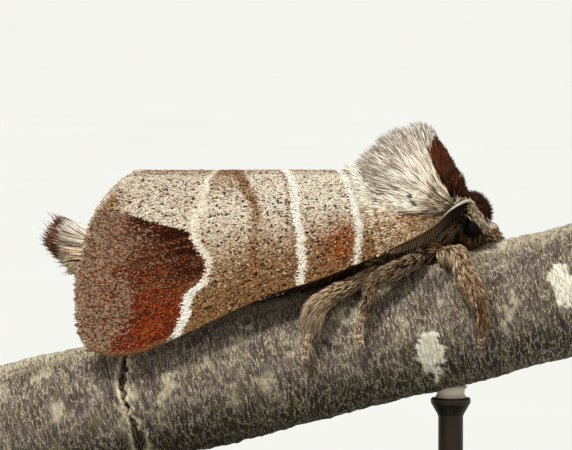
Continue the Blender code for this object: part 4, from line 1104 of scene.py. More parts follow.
class MOTH_OT_head(bpy.types.Operator):
    """Grow the dark tuft, the pale brow and the face hair, and set the eyes"""

    bl_idname = "moth.head"
    bl_label = "Head"

    def execute(self, context):
        sizes, colours = context.scene.moth_sizes, context.scene.moth_colours
        draw = np.random.default_rng(41)
        count = sizes.head_hairs

        def face(place):
            return (place[:, 0] > 6.95) & ~on_leg(place)

        root, out = scatter(*SKIN["form"], count, draw, face)
        is_brow = np.arange(count) < count // 4
        root[is_brow], out[is_brow] = self.brow(count // 4, draw)
        side, height = np.abs(root[:, 1]), root[:, 2]
        ray = unit((root - np.array([7.15, 0.0, 15.0])) * np.array([1.0, 0.6, 1.0]))
        top = smooth_step(14.85, 15.25, height) * (1.0 - smooth_step(0.5, 0.72, side)) * ~is_brow
        chin = smooth_step(0.2, 0.7, -out[:, 2]) * ~is_brow
        palp = (root[:, 0] > 7.8) & ~is_brow & (height < 15.0)
        way = mixed(unit(out * 0.6 + np.array([0.05, 0.0, -0.8])), ray, top)
        way[is_brow] = out[is_brow] + np.array([0.1, 0.0, -0.75])
        way = unit(way + draw.normal(0.0, 0.13, (count, 3)))
        way[palp] = unit(out[palp] * 0.4 + np.array([0.8, 0.0, 0.1]))
        length = np.where(is_brow, 0.34, 0.26 + 0.3 * top + 0.42 * chin) * draw.uniform(0.7, 1.1, count)
        length += 0.25 * chin * np.exp(-((root[:, 0] - 7.25) / 0.3) ** 2)
        length[palp] = 0.1
        pick = draw.random(count)
        shown = mixed(pick_tone(colours, pick, buff=0.16, brown=0.34, fleck=0.5),
                      pick_tone(colours, pick, umber=0.45, chocolate=0.55), top)
        pale = pick_tone(colours, pick, cream=0.5, buff=0.3, brown=0.2)
        shown[is_brow] = pale[is_brow] * np.array([1.0, 0.95, 0.87])
        # Painted light on the palps: their hair is painted 1.3 times lighter, and the hair on their top,
        # which faces up, is painted pale cream and grey as a painted highlight.
        above = palp & (out[:, 2] > 0.3)
        shown[palp] = pick_tone(colours, pick[palp], umber=0.2, brown=0.45, grey=0.35) * 1.3
        shown[above] = pick_tone(colours, pick[above], cream=0.6, grey=0.4)
        # The roots of the head hair are painted darker than their tips, at 0.4 of the tone on the brow, 0.55
        # elsewhere and 0.8 on the palps, as painted shade between the hairs.
        piece = grow_hair("coat_head", coat_finish("head_hair", 0.5, 0.3, 0.25), root,
                          start=way, end=way + np.array([-0.1, 0.0, 0.1]), length=length,
                          width=millimetres(sizes, "hair_width") * 0.85 * draw.uniform(0.8, 1.2, count),
                          face=out + 0.01, base=shown * np.where(palp, 0.8, 0.4 + 0.15 * ~is_brow)[:, None],
                          tip=shown, place=barrel_place(root, 6.9, 8.6, 15.1))
        self.set_eyes(colours)
        return {"FINISHED"}

    def brow(self, count, draw):
        """Roots and outward directions of the pale hair in front of the feelers' roots."""
        span = draw.random(count)
        side = np.where(draw.random(count) < 0.5, 1.0, -1.0)
        root = np.array([6.98, 0.95, 15.86]) + np.stack([0.82 * span, 0.14 * np.sin(3 * span),
                                                        -0.95 * span ** 1.5], axis=-1)
        root = root + draw.normal(0.0, 0.1, (count, 3))
        root[:, 1] *= side
        return root, unit(np.stack([0.3 + 0.4 * span, side * 0.9, 0.25 - 0.5 * span], axis=-1))

    def set_eyes(self, colours):
        """Compound eyes: polished black lenses whose small facets break the highlight."""
        made, tree, shader, place = new_finish("eye_lens", 0.4, Specular_IOR_Level=0.05,
                                               Base_Color=(*tone(colours, "eye"), 1.0))
        facets = add(tree, "ShaderNodeTexVoronoi", {"Scale": per_mm(0.035), "Randomness": 0.3},
                     {"Vector": place}).outputs["Distance"]
        set_bump(tree, shader, facets, 0.5, 0.01, invert=True)
        tree.links.new(between(tree, facets, 0.35, 0.6), shader.inputs["Roughness"])
        for side, word in SIDES:
            form = bmesh.new()
            centre = (EYE_CENTRE[0], side * EYE_CENTRE[1], EYE_CENTRE[2])
            bmesh.ops.create_icosphere(form, subdivisions=5, radius=EYE_RADIUS,
                                       matrix=Matrix.Translation(centre))
            eye = make_piece("lens_" + word, *form_arrays(form), made)
            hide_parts("eye_" + word)


class MOTH_OT_legs(bpy.types.Operator):
    """Grow the hair of the legs and set the claws"""

    bl_idname = "moth.legs"
    bl_label = "Legs"

    def execute(self, context):
        sizes, colours = context.scene.moth_sizes, context.scene.moth_colours
        draw = np.random.default_rng(43)
        count = sizes.leg_hairs
        root, out = scatter(*SKIN["form"], count, draw, on_leg)
        _, way, share, _, which = leg_distance(root)
        fore, middle, hind = which < 2, (which >= 2) & (which < 4), which >= 4
        flow = fore * (1.0 - smooth_step(0.3, 0.55, share)) * (1.0 - 0.6 * smooth_step(0.3, 0.9, out[:, 2]))
        flow = flow[:, None]
        way = unit(way * (1.0 - 0.7 * flow) + flow * np.array([0.45, 0.0, -0.9]))
        hairy = 1.0 - smooth_step(0.6 + 0.2 * fore, 0.74 + 0.2 * fore, share)
        fan = hind * np.exp(-((share - 0.56) / 0.1) ** 2)
        length = 0.1 + (0.32 + 0.1 * fore) * hairy + 0.42 * fan
        length *= draw.uniform(0.65, 1.15, count)
        ahead = way + out * (0.25 + (0.3 + 0.25 * fore) * hairy)[:, None] + 0.12 * clumps(root, 0.4, 7)
        ahead = unit(ahead + draw.normal(0.0, 0.08, (count, 3)) + np.array([-0.25, 0.0, 0.0]) * fan[:, None])
        shown = pick_tone(colours, draw.random(count), cream=0.45 - 0.15 * middle, buff=0.25, brown=0.15,
                          fleck=0.15 + 0.15 * middle)
        reddish = fore * smooth_step(0.3, 0.7, share) * (draw.random(count) < 0.5)
        shown = mixed(shown, tone(colours, "chestnut") * 0.75, 0.85 * reddish)
        rosy = (1 - hairy) * (0.8 - 0.4 * fore)
        shown = mixed(shown, tone(colours, "cream") * np.array([1.0, 0.92, 0.98]), rosy)
        shown = shown * (1.0 - 0.45 * (1 - hairy) * (foot_wave(share) < -0.6))[:, None]
        shown = mixed(shown, tone(colours, "cream"), fan * 0.35) * np.array([1.06, 0.92, 0.76])
        # Painted shade: hair whose root faces down is painted darker, to 0.65 of its tone under the leg, and
        # the hairy parts of the middle legs are painted 35 % darker as well. The hair's roots are painted at
        # 0.3 of its tone where the leg is hairy and 0.7 on the feet, as painted shade deep in the hair.
        shade = (0.65 + 0.35 * smooth_step(-0.5, 0.6, out[:, 2])) * (1.0 - 0.35 * middle * hairy)
        width = millimetres(sizes, "hair_width") * (0.6 + 0.15 * hairy) * draw.uniform(0.8, 1.2, count)
        place = np.stack([(which + 0.5 + 0.45 * np.sin(3 * out[:, 0])) / 6.0, share], axis=-1) * 0.99
        piece = grow_hair("coat_legs", coat_finish("leg_hair_down", 0.65, 0.4, 0.25), root,
                          start=ahead, end=unit(way + 0.05 * out), length=length, width=width, face=out,
                          base=shown * (0.3 + 0.4 * (1 - hairy))[:, None], tip=shown * shade[:, None],
                          place=place)
        self.set_claws(colours)
        return {"FINISHED"}

    def set_claws(self, colours):
        """Pair of small hooks at the end of each foot, of polished horn-like cuticle."""
        made, tree, shader, place = new_finish("claw_cuticle", 0.35)
        horn = tone(colours, "horn")
        set_ramp(tree, shader, noise_at(tree, place, 0.15), horn * 0.5, horn * 1.3)
        s = np.linspace(0.0, 1.0, 9)[:, None]
        every_point, every_face, count = [], [], 0
        for line, side in leg_plan().values():
            end = np.array(line[-1][0]) * np.array([1.0, side, 1.0])
            for turn in (-0.5, 0.5):
                way = np.array([turn * 0.16, -side * 0.16, -0.12])
                curl = np.array([0.0, -side * 0.05, 0.1])
                centres = end + np.array([turn * 0.08, 0.0, 0.02]) + way * s + curl * s * s
                points, faces = loft_arrays(tube_rings(centres, 0.045 * (1.0 - 0.9 * s[:, 0]), 8))
                every_point.append(points)
                every_face.append(faces + count)
                count += len(points)
        claws = make_piece("claws", np.concatenate(every_point), np.concatenate(every_face), made)


class MOTH_OT_body(bpy.types.Operator):
    """Grow the hair of the abdomen and the brush at its end"""

    bl_idname = "moth.body"
    bl_label = "Body and tail"

    def execute(self, context):
        sizes, colours = context.scene.moth_sizes, context.scene.moth_colours
        self.grow_body(sizes, colours)
        self.grow_tail(sizes, colours)
        return {"FINISHED"}

    def grow_body(self, sizes, colours):
        """Hair that lies back along the abdomen and hangs down under the thorax; the hanging hair is painted
        dark as painted shade.
        """
        draw = np.random.default_rng(47)
        count = sizes.body_hairs

        def trunk(place):
            under = (place[:, 0] < 7.4) & (place[:, 2] < 14.6 + 0.8 * (place[:, 0] > 4.8))
            return (under | (place[:, 0] < -5.5)) & (place[:, 0] > -7.1) & ~on_leg(place)

        root, out = scatter(*SKIN["form"], count, draw, trunk)
        hangs = smooth_step(0.0, 0.7, -out[:, 2]) * (root[:, 0] > -3.5)
        ahead = unit(np.array([-1.0, 0.0, -0.05]) + out * 0.35 + draw.normal(0.0, 0.1, (count, 3)))
        ahead = unit(mixed(ahead, np.array([-0.45, 0.0, -1.0]), 0.8 * hangs))
        length = draw.uniform(0.3, 0.5, count) + 0.35 * hangs
        shown = pick_tone(colours, draw.random(count), cream=0.25, buff=0.4, brown=0.35)
        # Painted shade: the hair that hangs under the body is painted up to 75 % darker, so that it fills the
        # shadow between the wings' lower edge and the twig. Its roots are painted at half its tone as painted
        # shade in the coat.
        shown = shown * (1.0 - 0.75 * hangs)[:, None] * np.array([1.0, 0.85, 0.65])
        ends = mixed(np.array([-1.0, 0.0, 0.0]) + 0.15 * out, np.array([-0.6, 0.0, -1.0]), hangs)
        piece = grow_hair("coat_body", coat_finish("body_hair", 0.65, 0.5, 0.2), root,
                          start=ahead, end=ends, length=length,
                          width=millimetres(sizes, "hair_width") * draw.uniform(1.1, 1.7, count), face=out,
                          base=shown * 0.5, tip=shown * 0.9, place=barrel_place(root, -7.1, 7.4, 13.9))

    def grow_tail(self, sizes, colours):
        """Brush at the end of the abdomen: pale above, streaked below, with dark tips."""
        draw = np.random.default_rng(53)
        count = sizes.tail_hairs
        root, out = scatter(*SKIN["form"], count, draw, lambda place: place[:, 0] < -6.9)
        up = np.clip((root[:, 2] - 13.95) / 0.5 + draw.normal(0.0, 0.15, count), -1.0, 1.0)
        wide = np.clip(root[:, 1] / 0.5, -1.0, 1.0)
        layer = 1.0 - 0.5 * draw.random(count) ** 2.2
        tip = np.stack([along(TAIL_REACH_X, up), wide * 0.85, along(TAIL_REACH_Z, up)], axis=-1)
        tip[:, 0] = -8.0 + (tip[:, 0] + 8.0) * (1.0 - 0.35 * wide * wide)
        chord = tip + 0.1 * clumps(root, 0.35, 10) + draw.normal(0.0, 0.03, (count, 3)) - root
        length = np.linalg.norm(chord, axis=1) * np.where(draw.random(count) < 0.006, 1.3, layer)
        way = unit(chord)
        tip = root + way * length[:, None]
        pick = draw.random(count)
        streaked = pick_tone(colours, pick, cream=0.5, buff=0.28, fleck=0.22) * np.array([1.0, 0.9, 0.8])
        pale = pick_tone(colours, pick, white=0.35, cream=0.45, brown=0.2)
        pale = mixed(streaked, pale, smooth_step(-0.3, 0.3, up))
        dark = pick_tone(colours, pick, chestnut=0.2, umber=0.4, chocolate=0.4)
        rear = 1.0 - smooth_step(-9.3, -9.1, tip[:, 0] - 0.2 * np.maximum(up, 0.0))
        end = mixed(pale, dark, rear * (draw.random(count) < 0.9))
        bend = np.array([0.0, 0.0, 0.35]) * np.maximum(up, 0.0)[:, None]
        piece = grow_hair("coat_tail", coat_finish("tail_hair", 0.55, 0.5, 0.25), root,
                          start=way + out * 0.1 - bend, end=way + bend, length=length,
                          width=millimetres(sizes, "hair_width") * draw.uniform(1.1, 1.8, count), face=out,
                          base=pale, tip=end, place=barrel_place(root, -8.9, -6.9, 13.95), fade=(0.1, 0.6))


class MOTH_OT_forewings(bpy.types.Operator):
    """Make the forewings with their veins, scales and fringes"""

    bl_idname = "moth.forewings"
    bl_label = "Forewings"

    def execute(self, context):
        sizes, colours = context.scene.moth_sizes, context.scene.moth_colours
        finish = coat_finish("forewing_membrane", 0.75, 0.25, 0.2)
        scaly = coat_finish("forewing_scales", 0.6, 0.2, 0.2)
        for side, word in SIDES:
            draw = np.random.default_rng(61 if side > 0 else 67)
            u, t = np.meshgrid(np.linspace(0, 1, 160), np.linspace(0, 1, 100), indexing="ij")
            x = wing_station(u, t)
            relief = millimetres(sizes, "vein_height") * vein_relief(FOREWING_VEINS, u, t)
            outer = roof(x, t, -relief, side)
            inner = roof(x, t, millimetres(sizes, "wing_thickness") - relief, side)
            tones = wing_tone(colours, x.ravel(), t.ravel()) * 0.8
            under = np.tile(tone(colours, "buff") * 0.7, (len(tones), 1))
            wing = sheet_piece("wing_fore_" + word, finish, outer, inner, np.concatenate([tones, under]))
            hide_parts("forewing_" + word)
            self.lay(sizes, colours, side, word, scaly, draw)
            self.lay_under(sizes, colours, side, word, scaly, draw)
            self.fringe(colours, side, word, scaly, draw)
            self.ridge(colours, side, word, scaly, draw)
        return {"FINISHED"}

    def lay(self, sizes, colours, side, word, finish, draw):
        """Rows of overlapping scales that point to the rear edge."""
        count = sizes.wing_scales
        u, t = draw.random(count) * 0.995, 0.005 + 0.99 * draw.random(count)
        x = wing_station(u, t, 0.02)
        relief = millimetres(sizes, "vein_height") * vein_relief(FOREWING_VEINS, u, t)
        root = roof(x, t, -relief + 0.01, side)
        ahead = unit(roof(x - 0.2, t, -relief, side) - root)
        out = roof_out(x, t, side)
        ahead = ahead + np.cross(out, ahead) * draw.normal(0.0, 0.16, count)[:, None]
        size = draw.uniform(0.8, 1.2, count)
        piece = lay_scales("scales_fore_" + word, finish, root, ahead, out,
                           length=millimetres(sizes, "scale_length") * size,
                           width=millimetres(sizes, "scale_width") * size * draw.uniform(0.8, 1.1, count),
                           lift=draw.uniform(0.025, 0.06, count), shown=wing_tone(colours, x, t, draw),
                           place=wing_place(x, t))

    def lay_under(self, sizes, colours, side, word, finish, draw):
        """Larger plain scales on the underside, where the roof stands open at the rear."""
        count = UNDER_SCALES
        u, t = draw.uniform(0.45, 0.985, count), 0.02 + 0.96 * draw.random(count)
        x = wing_station(u, t)
        depth = millimetres(sizes, "wing_thickness") - 0.01
        root = roof(x, t, depth, side)
        ahead = unit(roof(x - 0.2, t, depth, side) - root)
        out = -roof_out(x, t, side)
        ahead = ahead + np.cross(out, ahead) * draw.normal(0.0, 0.2, count)[:, None]
        shown = pick_tone(colours, draw.random(count), cream=0.35, buff=0.45, brown=0.2)
        piece = lay_scales("scales_under_" + word, finish, root, ahead, out,
                           length=draw.uniform(0.22, 0.3, count), width=draw.uniform(0.12, 0.17, count),
                           lift=draw.uniform(0.02, 0.05, count), shown=shown * np.array([0.9, 0.8, 0.66]),
                           place=wing_place(x, t))

    def fringe(self, colours, side, word, finish, draw):
        """Long narrow scales along the rear edge."""
        count = FRINGE_HAIRS
        t = draw.random(count)
        x = along(TERMEN_X, t) + draw.uniform(0.0, 0.16, count)
        root = roof(x, t, draw.uniform(0.0, 0.1, count), side)
        slope = (along(TERMEN_X, t + 0.02) - along(TERMEN_X, t - 0.02)) / 0.04
        down = roof(x, t + 0.02, 0.0, side) - roof(x, t - 0.02, 0.0, side)
        ahead = unit(np.array([-1.0, 0.0, 0.0]) + unit(down) * (0.055 * slope)[:, None])
        ahead = ahead + draw.normal(0.0, 0.1, (count, 3))
        out = roof_out(x, t, side)
        check = np.sin(t * 150.0 + 2 * np.sin(t * 40.0)) > 0.0
        pale = pick_tone(colours, draw.random(count), cream=0.3, grey=0.5, buff=0.2)
        dark = pick_tone(colours, draw.random(count), brown=0.6, fleck=0.4)
        shown = mixed(pale, dark, np.where(check, 0.7, 0.1) * smooth_step(0.38, 0.55, t))
        length = draw.uniform(0.06, 0.15, count) + 0.03 * check + 0.06 * (np.sin(t * 310.0) > 0.3)
        piece = grow_hair("fringe_fore_" + word, finish, root, start=ahead, end=ahead + 0.15 * out,
                          length=length, width=0.05 * draw.uniform(0.8, 1.3, count), face=out,
                          base=shown * 0.6, tip=shown * 1.1, place=wing_place(x, t))

    def ridge(self, colours, side, word, finish, draw):
        """Hair of the inner edge, which lies over to the other wing and closes the roof."""
        count = RIDGE_HAIRS
        x = draw.uniform(-5.9, 3.3, count)
        t = draw.uniform(0.0, 0.035, count)
        ahead = unit(np.stack([np.full(count, -1.0), -side * draw.uniform(0.5, 1.3, count),
                               draw.uniform(-0.02, 0.16, count)], axis=-1))
        shown = wing_tone(colours, x, np.full(count, 0.03), draw)
        # The ridge hair is painted darker, at 0.7 of the wing's tone at the roots and 0.88 at the tips, as
        # painted shade along the ridge where the wings meet.
        piece = grow_hair("ridge_fore_" + word, finish, roof(x, t, 0.03, side),
                          start=ahead, end=ahead + np.array([-0.4, 0.0, -0.1]),
                          length=draw.uniform(0.22, 0.36, count), width=draw.uniform(0.04, 0.07, count),
                          face=np.array([0.0, 0.0, 1.0]), base=shown * 0.7, tip=shown * 0.88,
                          place=wing_place(x, t))


class MOTH_OT_hindwings(bpy.types.Operator):
    """Make the hindwings that lie folded under the forewings"""

    bl_idname = "moth.hindwings"
    bl_label = "Hindwings"

    def execute(self, context):
        sizes, colours = context.scene.moth_sizes, context.scene.moth_colours
        finish = coat_finish("hindwing_membrane", 0.75, 0.2, 0.3)
        u, share = np.meshgrid(np.linspace(0, 1, 110), np.linspace(0, 1, 70), indexing="ij")
        upper, lower = (along(column(HINDWING_SPREAD, k), u) for k in (1, 2))
        t = upper + (lower - upper) * share
        x = HINDWING_FRONT_X + (along(HINDWING_REAR_X, share) - HINDWING_FRONT_X) * u
        relief = 0.6 * millimetres(sizes, "vein_height") * vein_relief(HINDWING_VEINS, u, share)
        depth = HINDWING_DEPTH - relief
        tones = mixed(tone(colours, "buff") * 0.9, tone(colours, "brown"),
                      0.6 * smooth_step(0.6, 1.0, u.ravel()))
        for side, word in SIDES:
            outer = roof(x, t, depth, side)
            inner = roof(x, t, depth + millimetres(sizes, "wing_thickness"), side)
            wing = sheet_piece("wing_hind_" + word, finish, outer, inner, np.concatenate([tones, tones]))
            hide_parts("hindwing_" + word)
        return {"FINISHED"}


class MOTH_OT_feelers(bpy.types.Operator):
    """Make the combed feelers"""

    bl_idname = "moth.feelers"
    bl_label = "Feelers"

    def execute(self, context):
        sizes, colours = context.scene.moth_sizes, context.scene.moth_colours
        shaft_finish = coat_finish("feeler_shaft", 0.5, 0.15, 0.3)
        comb_finish = coat_finish("feeler_comb", 0.45, 0.2, 0.3)
        share = np.linspace(0.0, 1.0, 160)
        radii = 0.036 - 0.014 * share + 0.03 * (1.0 - smooth_step(0.1, 0.4, share))
        radii = radii * (1.0 + 0.1 * np.sin(2 * np.pi * 45 * share))
        for side, word in SIDES:
            centres, _ = stations([(point, 0.0) for point in ANTENNA_PATH], len(share), side)
            points, faces = loft_arrays(tube_rings(centres, radii, 10))
            tones = mixed(tone(colours, "brown"), tone(colours, "cream") * 0.62,
                          smooth_step(6.1, 6.7, points[:, 0]))
            shaft = make_piece("feeler_shaft_" + word, points, faces, shaft_finish, tones)
            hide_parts("antenna_" + word)
            self.comb(sizes, colours, side, word, comb_finish, centres)
        return {"FINISHED"}

    def comb(self, sizes, colours, side, word, finish, centres):
        """Two rows of fine teeth that hang from the shaft, with painted shade on the inner row and by the
        head.
        """
        draw = np.random.default_rng(71)
        share = np.tile(np.linspace(0.05, 0.99, COMB_TEETH), 2)
        count = len(share)
        even = np.linspace(0, 1, len(centres))
        root = np.stack([np.interp(share, even, centres[:, k]) for k in range(3)], axis=-1)
        outer = np.arange(count) < COMB_TEETH
        lean = np.where(outer, 0.4, -0.15)
        down = unit(np.stack([np.full(count, -0.1), side * lean, np.full(count, -1.0)], axis=-1)
                    + draw.normal(0.0, 0.02, (count, 3)))
        fleck = tone(colours, "fleck")
        # Painted shade: the outer row of teeth is painted near black by the head and brown further out, the
        # inner row, which hangs behind it, near black all along, and the roots of all teeth darker again.
        lit = mixed(fleck * 0.5, tone(colours, "buff") * 0.5, smooth_step(0.25, 0.7, share)) * 0.8
        dark = np.where(outer[:, None], lit, fleck * 0.12)
        length = millimetres(sizes, "comb_length") * (0.28 + 0.72 * np.sin(np.pi * share ** 0.7))
        piece = grow_hair("feeler_comb_" + word, finish, root,
                          start=down, end=down + np.array([-0.15, 0.0, 0.1]), length=length,
                          width=np.where(outer, 0.03, 0.09), face=np.array([0.0, side, 0.1]),
                          base=dark * 0.6, tip=dark, rings=4,
                          place=np.stack([share, 0.5 + 0.3 * lean], axis=-1) * 0.99)


class MOTH_OT_twig(bpy.types.Operator):
    """Make the cut twig with its cracked bark, scars and lichen"""

    bl_idname = "moth.twig"
    bl_label = "Twig"

    def execute(self, context):
        sizes, colours = context.scene.moth_sizes, context.scene.twig_colours
        slope = math.atan(TWIG_RISE)
        ahead = np.array([math.cos(slope), 0.0, math.sin(slope)])
        up = np.array([-math.sin(slope), 0.0, math.cos(slope)])
        half = TWIG_REACH / math.cos(slope)
        s, turn = np.meshgrid(np.linspace(-half, half, TWIG_ROWS),
                              2 * np.pi * np.arange(TWIG_SIDES) / TWIG_SIDES, indexing="ij")
        across, high = TWIG_RADIUS * np.cos(turn), TWIG_RADIUS * np.sin(turn)
        marks = self.marks(s.ravel(), across.ravel(), high.ravel())
        rough = self.bark(s, across, high) * millimetres(sizes, "bark_relief")
        uneven = 0.03 * np.sin(2 * turn + 0.7 * s) + 0.025 * np.sin(5 * turn - 1.3 * s)
        radius = TWIG_RADIUS - 0.05 + uneven + rough + marks["raised"].reshape(s.shape)
        radius = radius - 0.08 * smooth_step(half - 0.1, half, np.abs(s))
        points = (np.array([0.0, 0.0, TWIG_Z]) + s[..., None] * ahead
                  + radius[..., None] * (np.cos(turn)[..., None] * np.array([0.0, 1.0, 0.0])
                                         + np.sin(turn)[..., None] * up))
        tones = self.tones(colours, points.reshape(-1, 3), high.ravel() / TWIG_RADIUS, marks)
        twig = make_piece("twig_bark", points.reshape(-1, 3), ring_quads(TWIG_ROWS, TWIG_SIDES),
                          self.finish(colours), tones)
        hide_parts("perch_twig")
        self.ends(points, colours)
        return {"FINISHED"}

    def marks(self, s, across, high):
        """Crusts, spots, scars and the split, each as a share from 0 to 1, and what they raise."""
        place = np.column_stack([s, across, high])
        ragged = drift_of(place, 0.5, 21) + 0.6 * drift_of(place, 0.2, 22)
        crust, spot, ring = np.zeros_like(s), np.zeros_like(s), np.zeros_like(s)
        for at, up, side, long, tall in BARK_CRUSTS:
            gap = np.hypot((s - at) / long, (high - up) / tall) + 0.22 * ragged
            crust = np.maximum(crust, (1 - smooth_step(0.8, 1.0, gap)) * (across * side > 0))
        for at, up, side, size in BARK_SPOTS:
            gap = np.hypot(s - at, high - up) / size
            spot = np.maximum(spot, (1 - smooth_step(0.7, 1.1, gap)) * (across * side > 0))
        for at, up, side, size in BARK_SCARS:
            gap = np.hypot(s - at, (high - up) * 1.2) / size
            ring = np.maximum(ring, np.exp(-((gap - 1.0) / 0.22) ** 2) * (across * side > 0))
        near = across < 0
        gap = np.abs(s - along(SPLIT_PLACE, high) - 0.05 * ragged)
        width = along(SPLIT_WIDTH, high) * (1.0 + 0.3 * ragged)
        split = (1 - smooth_step(0.45 * width, 0.6 * width + 0.03, gap)) * near
        lip = np.exp(-((gap - 0.5 * width - 0.1) / 0.09) ** 2) * near * (width > 0.03)
        raised = 0.03 * crust - 0.03 * spot + 0.035 * ring - 0.3 * split + 0.04 * lip
        return {"crust": crust, "spot": spot, "ring": ring, "split": split, "lip": lip,
                "raised": np.minimum(raised, 0.05)}

    def tones(self, colours, points, high, marks):
        """Colour of the bark at each point, before its fine cracks, with a painted highlight along the top
        and painted shade underneath.
        """
        drift = drift_of(points, 1.6, 23) + 0.5 * drift_of(points, 0.5, 24)
        bark, wine, pale, dark = (tone(colours, key) for key in ("bark", "wine", "pale", "dark"))
        shown = mixed(bark, wine, smooth_step(0.35, 1.1, drift) * 0.75)
        shown = mixed(shown, pale * 0.8, smooth_step(0.5, 1.3, -drift) * 0.5)
        # Painted highlight: the top of the twig is mixed towards the pale crack colour; painted shade: its
        # lower half is mixed towards dark, darkest underneath.
        shown = mixed(shown, pale, smooth_step(0.8, 1.0, high) * 0.6)
        shown = mixed(shown, dark * np.array([1.2, 0.95, 0.5]), 1 - smooth_step(-0.75, 0.05, high))
        shown = mixed(shown, tone(colours, "lichen"), marks["crust"] * 0.9)
        shown = mixed(shown, pale, np.clip(marks["lip"] + 0.7 * marks["ring"], 0, 1) * 0.8)
        shown = mixed(shown, tone(colours, "wood"), smooth_step(0.05, 0.4, marks["split"]) * 0.8)
        shown = mixed(shown, dark * 0.5, smooth_step(0.4, 0.8, marks["split"]))
        return mixed(shown, dark, marks["spot"] * 0.85)

    def bark(self, s, across, high):
        """Relief of the bark, about -1 to 1: fine cracks that run round the twig."""
        rows = zip((s * 3.2 + high * 0.5).ravel(), (across * 0.9).ravel(), (high * 0.9).ravel())
        values = np.array([noise.fractal(Vector(row), 0.9, 2.2, 4) for row in rows])
        return np.clip(values, -1.0, 1.0).reshape(s.shape)

    def ends(self, points, colours):
        """Flat sawn ends with growth rings."""
        made, tree, shader, place = new_finish("sawn_wood", 0.8)
        grain = noise_at(tree, place, 0.12, 4.0)
        set_held_tone(tree, shader, between(tree, grain, 0.7, 1.2))
        set_bump(tree, shader, grain, 0.4, 0.03)
        wood = tone(colours, "wood")
        shares = np.linspace(1.0, 0.02, 40)
        quads = ring_quads(len(shares), TWIG_SIDES)[:, [0, 3, 2, 1]]
        last = np.arange(TWIG_SIDES) + (len(shares) - 1) * TWIG_SIDES
        hub = np.stack([last, np.full(TWIG_SIDES, len(shares) * TWIG_SIDES), np.roll(last, -1)], axis=-1)
        tris = np.concatenate([quads[:, [0, 1, 2]], quads[:, [0, 2, 3]], hub])
        for row, word, faces in ((0, "rear", tris), (-1, "front", tris[:, ::-1])):
            middle = points[row].mean(axis=0)
            spokes = points[row] - middle
            every = np.concatenate([*(middle + spokes * share for share in shares), middle[None]])
            reach = np.linalg.norm(every - middle, axis=1) + 0.06 * drift_of(every, 1.4, 29)
            rings = 0.5 + 0.5 * np.sin(2 * np.pi * (reach + 0.12 * np.sin(2.1 * reach)) / 0.42)
            shown = mixed(wood * 1.15, wood * 0.72, rings ** 4)
            shown = mixed(shown, tone(colours, "dark") * 2.0, 1 - smooth_step(0.1, 0.2, reach))
            shown = mixed(shown, tone(colours, "bark") * 0.6, smooth_step(2.3, 2.4, reach))
            end = make_piece("twig_end_" + word, every, faces, made, shown, smooth=False)

    def finish(self, colours):
        """Living bark, weathered: purplish grey, dry and matt, with pale, black and yellow-green
        cracks that run across the twig."""
        made, tree, shader, place = new_finish("weathered_bark", 0.85)
        level = add(tree, "ShaderNodeMapping", {"Rotation": (0.0, math.atan(TWIG_RISE), 0.0)},
                    {"Vector": place})
        drawn = add(tree, "ShaderNodeMapping", {"Scale": (1.0, 0.24, 0.24)},
                    {"Vector": level.outputs["Vector"]})
        held = add(tree, "ShaderNodeAttribute", {"attribute_name": TONE})
        light = add(tree, "ShaderNodeRGBToBW", None, {0: held.outputs["Color"]})
        bare = add(tree, "ShaderNodeMapRange",
                   {"From Min": 0.35, "From Max": 0.6, "To Min": 1.0, "To Max": 0.6},
                   {"Value": light.outputs[0]})
        shown = held.outputs["Color"]
        # Each kind of crack: colour, size of its noise, shift along the twig, width and strength
        cracks = (("dark", 0.17, 7.0, 0.06, 1.0), ("pale", 0.17, 3.0, 0.017, 0.85),
                  ("algae", 0.3, 11.0, 0.011, 0.95))
        for key, size, shift, width, most in cracks:
            shifted = add(tree, "ShaderNodeMapping", {"Location": (shift * MM, 0.0, 0.0)},
                          {"Vector": drawn.outputs["Vector"]})
            crack = add(tree, "ShaderNodeTexNoise", {"Scale": per_mm(size), "Detail": 4.0, "Roughness": 0.65},
                        {"Vector": shifted.outputs["Vector"]})
            off = add(tree, "ShaderNodeMath", {"operation": "SUBTRACT", 1: 0.5}, {0: crack.outputs["Fac"]})
            thin = add(tree, "ShaderNodeMath", {"operation": "ABSOLUTE"}, {0: off.outputs["Value"]})
            gate = add(tree, "ShaderNodeMapRange", {"From Max": width, "To Min": most, "To Max": 0.0},
                       {"Value": thin.outputs["Value"]})
            kept = add(tree, "ShaderNodeMath", {"operation": "MULTIPLY"},
                       {0: gate.outputs["Result"], 1: bare.outputs["Result"]})
            mix = add(tree, "ShaderNodeMix", {"data_type": "RGBA", 7: (*tone(colours, key), 1.0)},
                      {0: kept.outputs["Value"], 6: shown})
            shown = mix.outputs[2]
            if key == "pale":
                set_bump(tree, shader, thin.outputs["Value"], 1.0, 0.12, invert=True)
        tree.links.new(shown, shader.inputs["Base Color"])
        return made


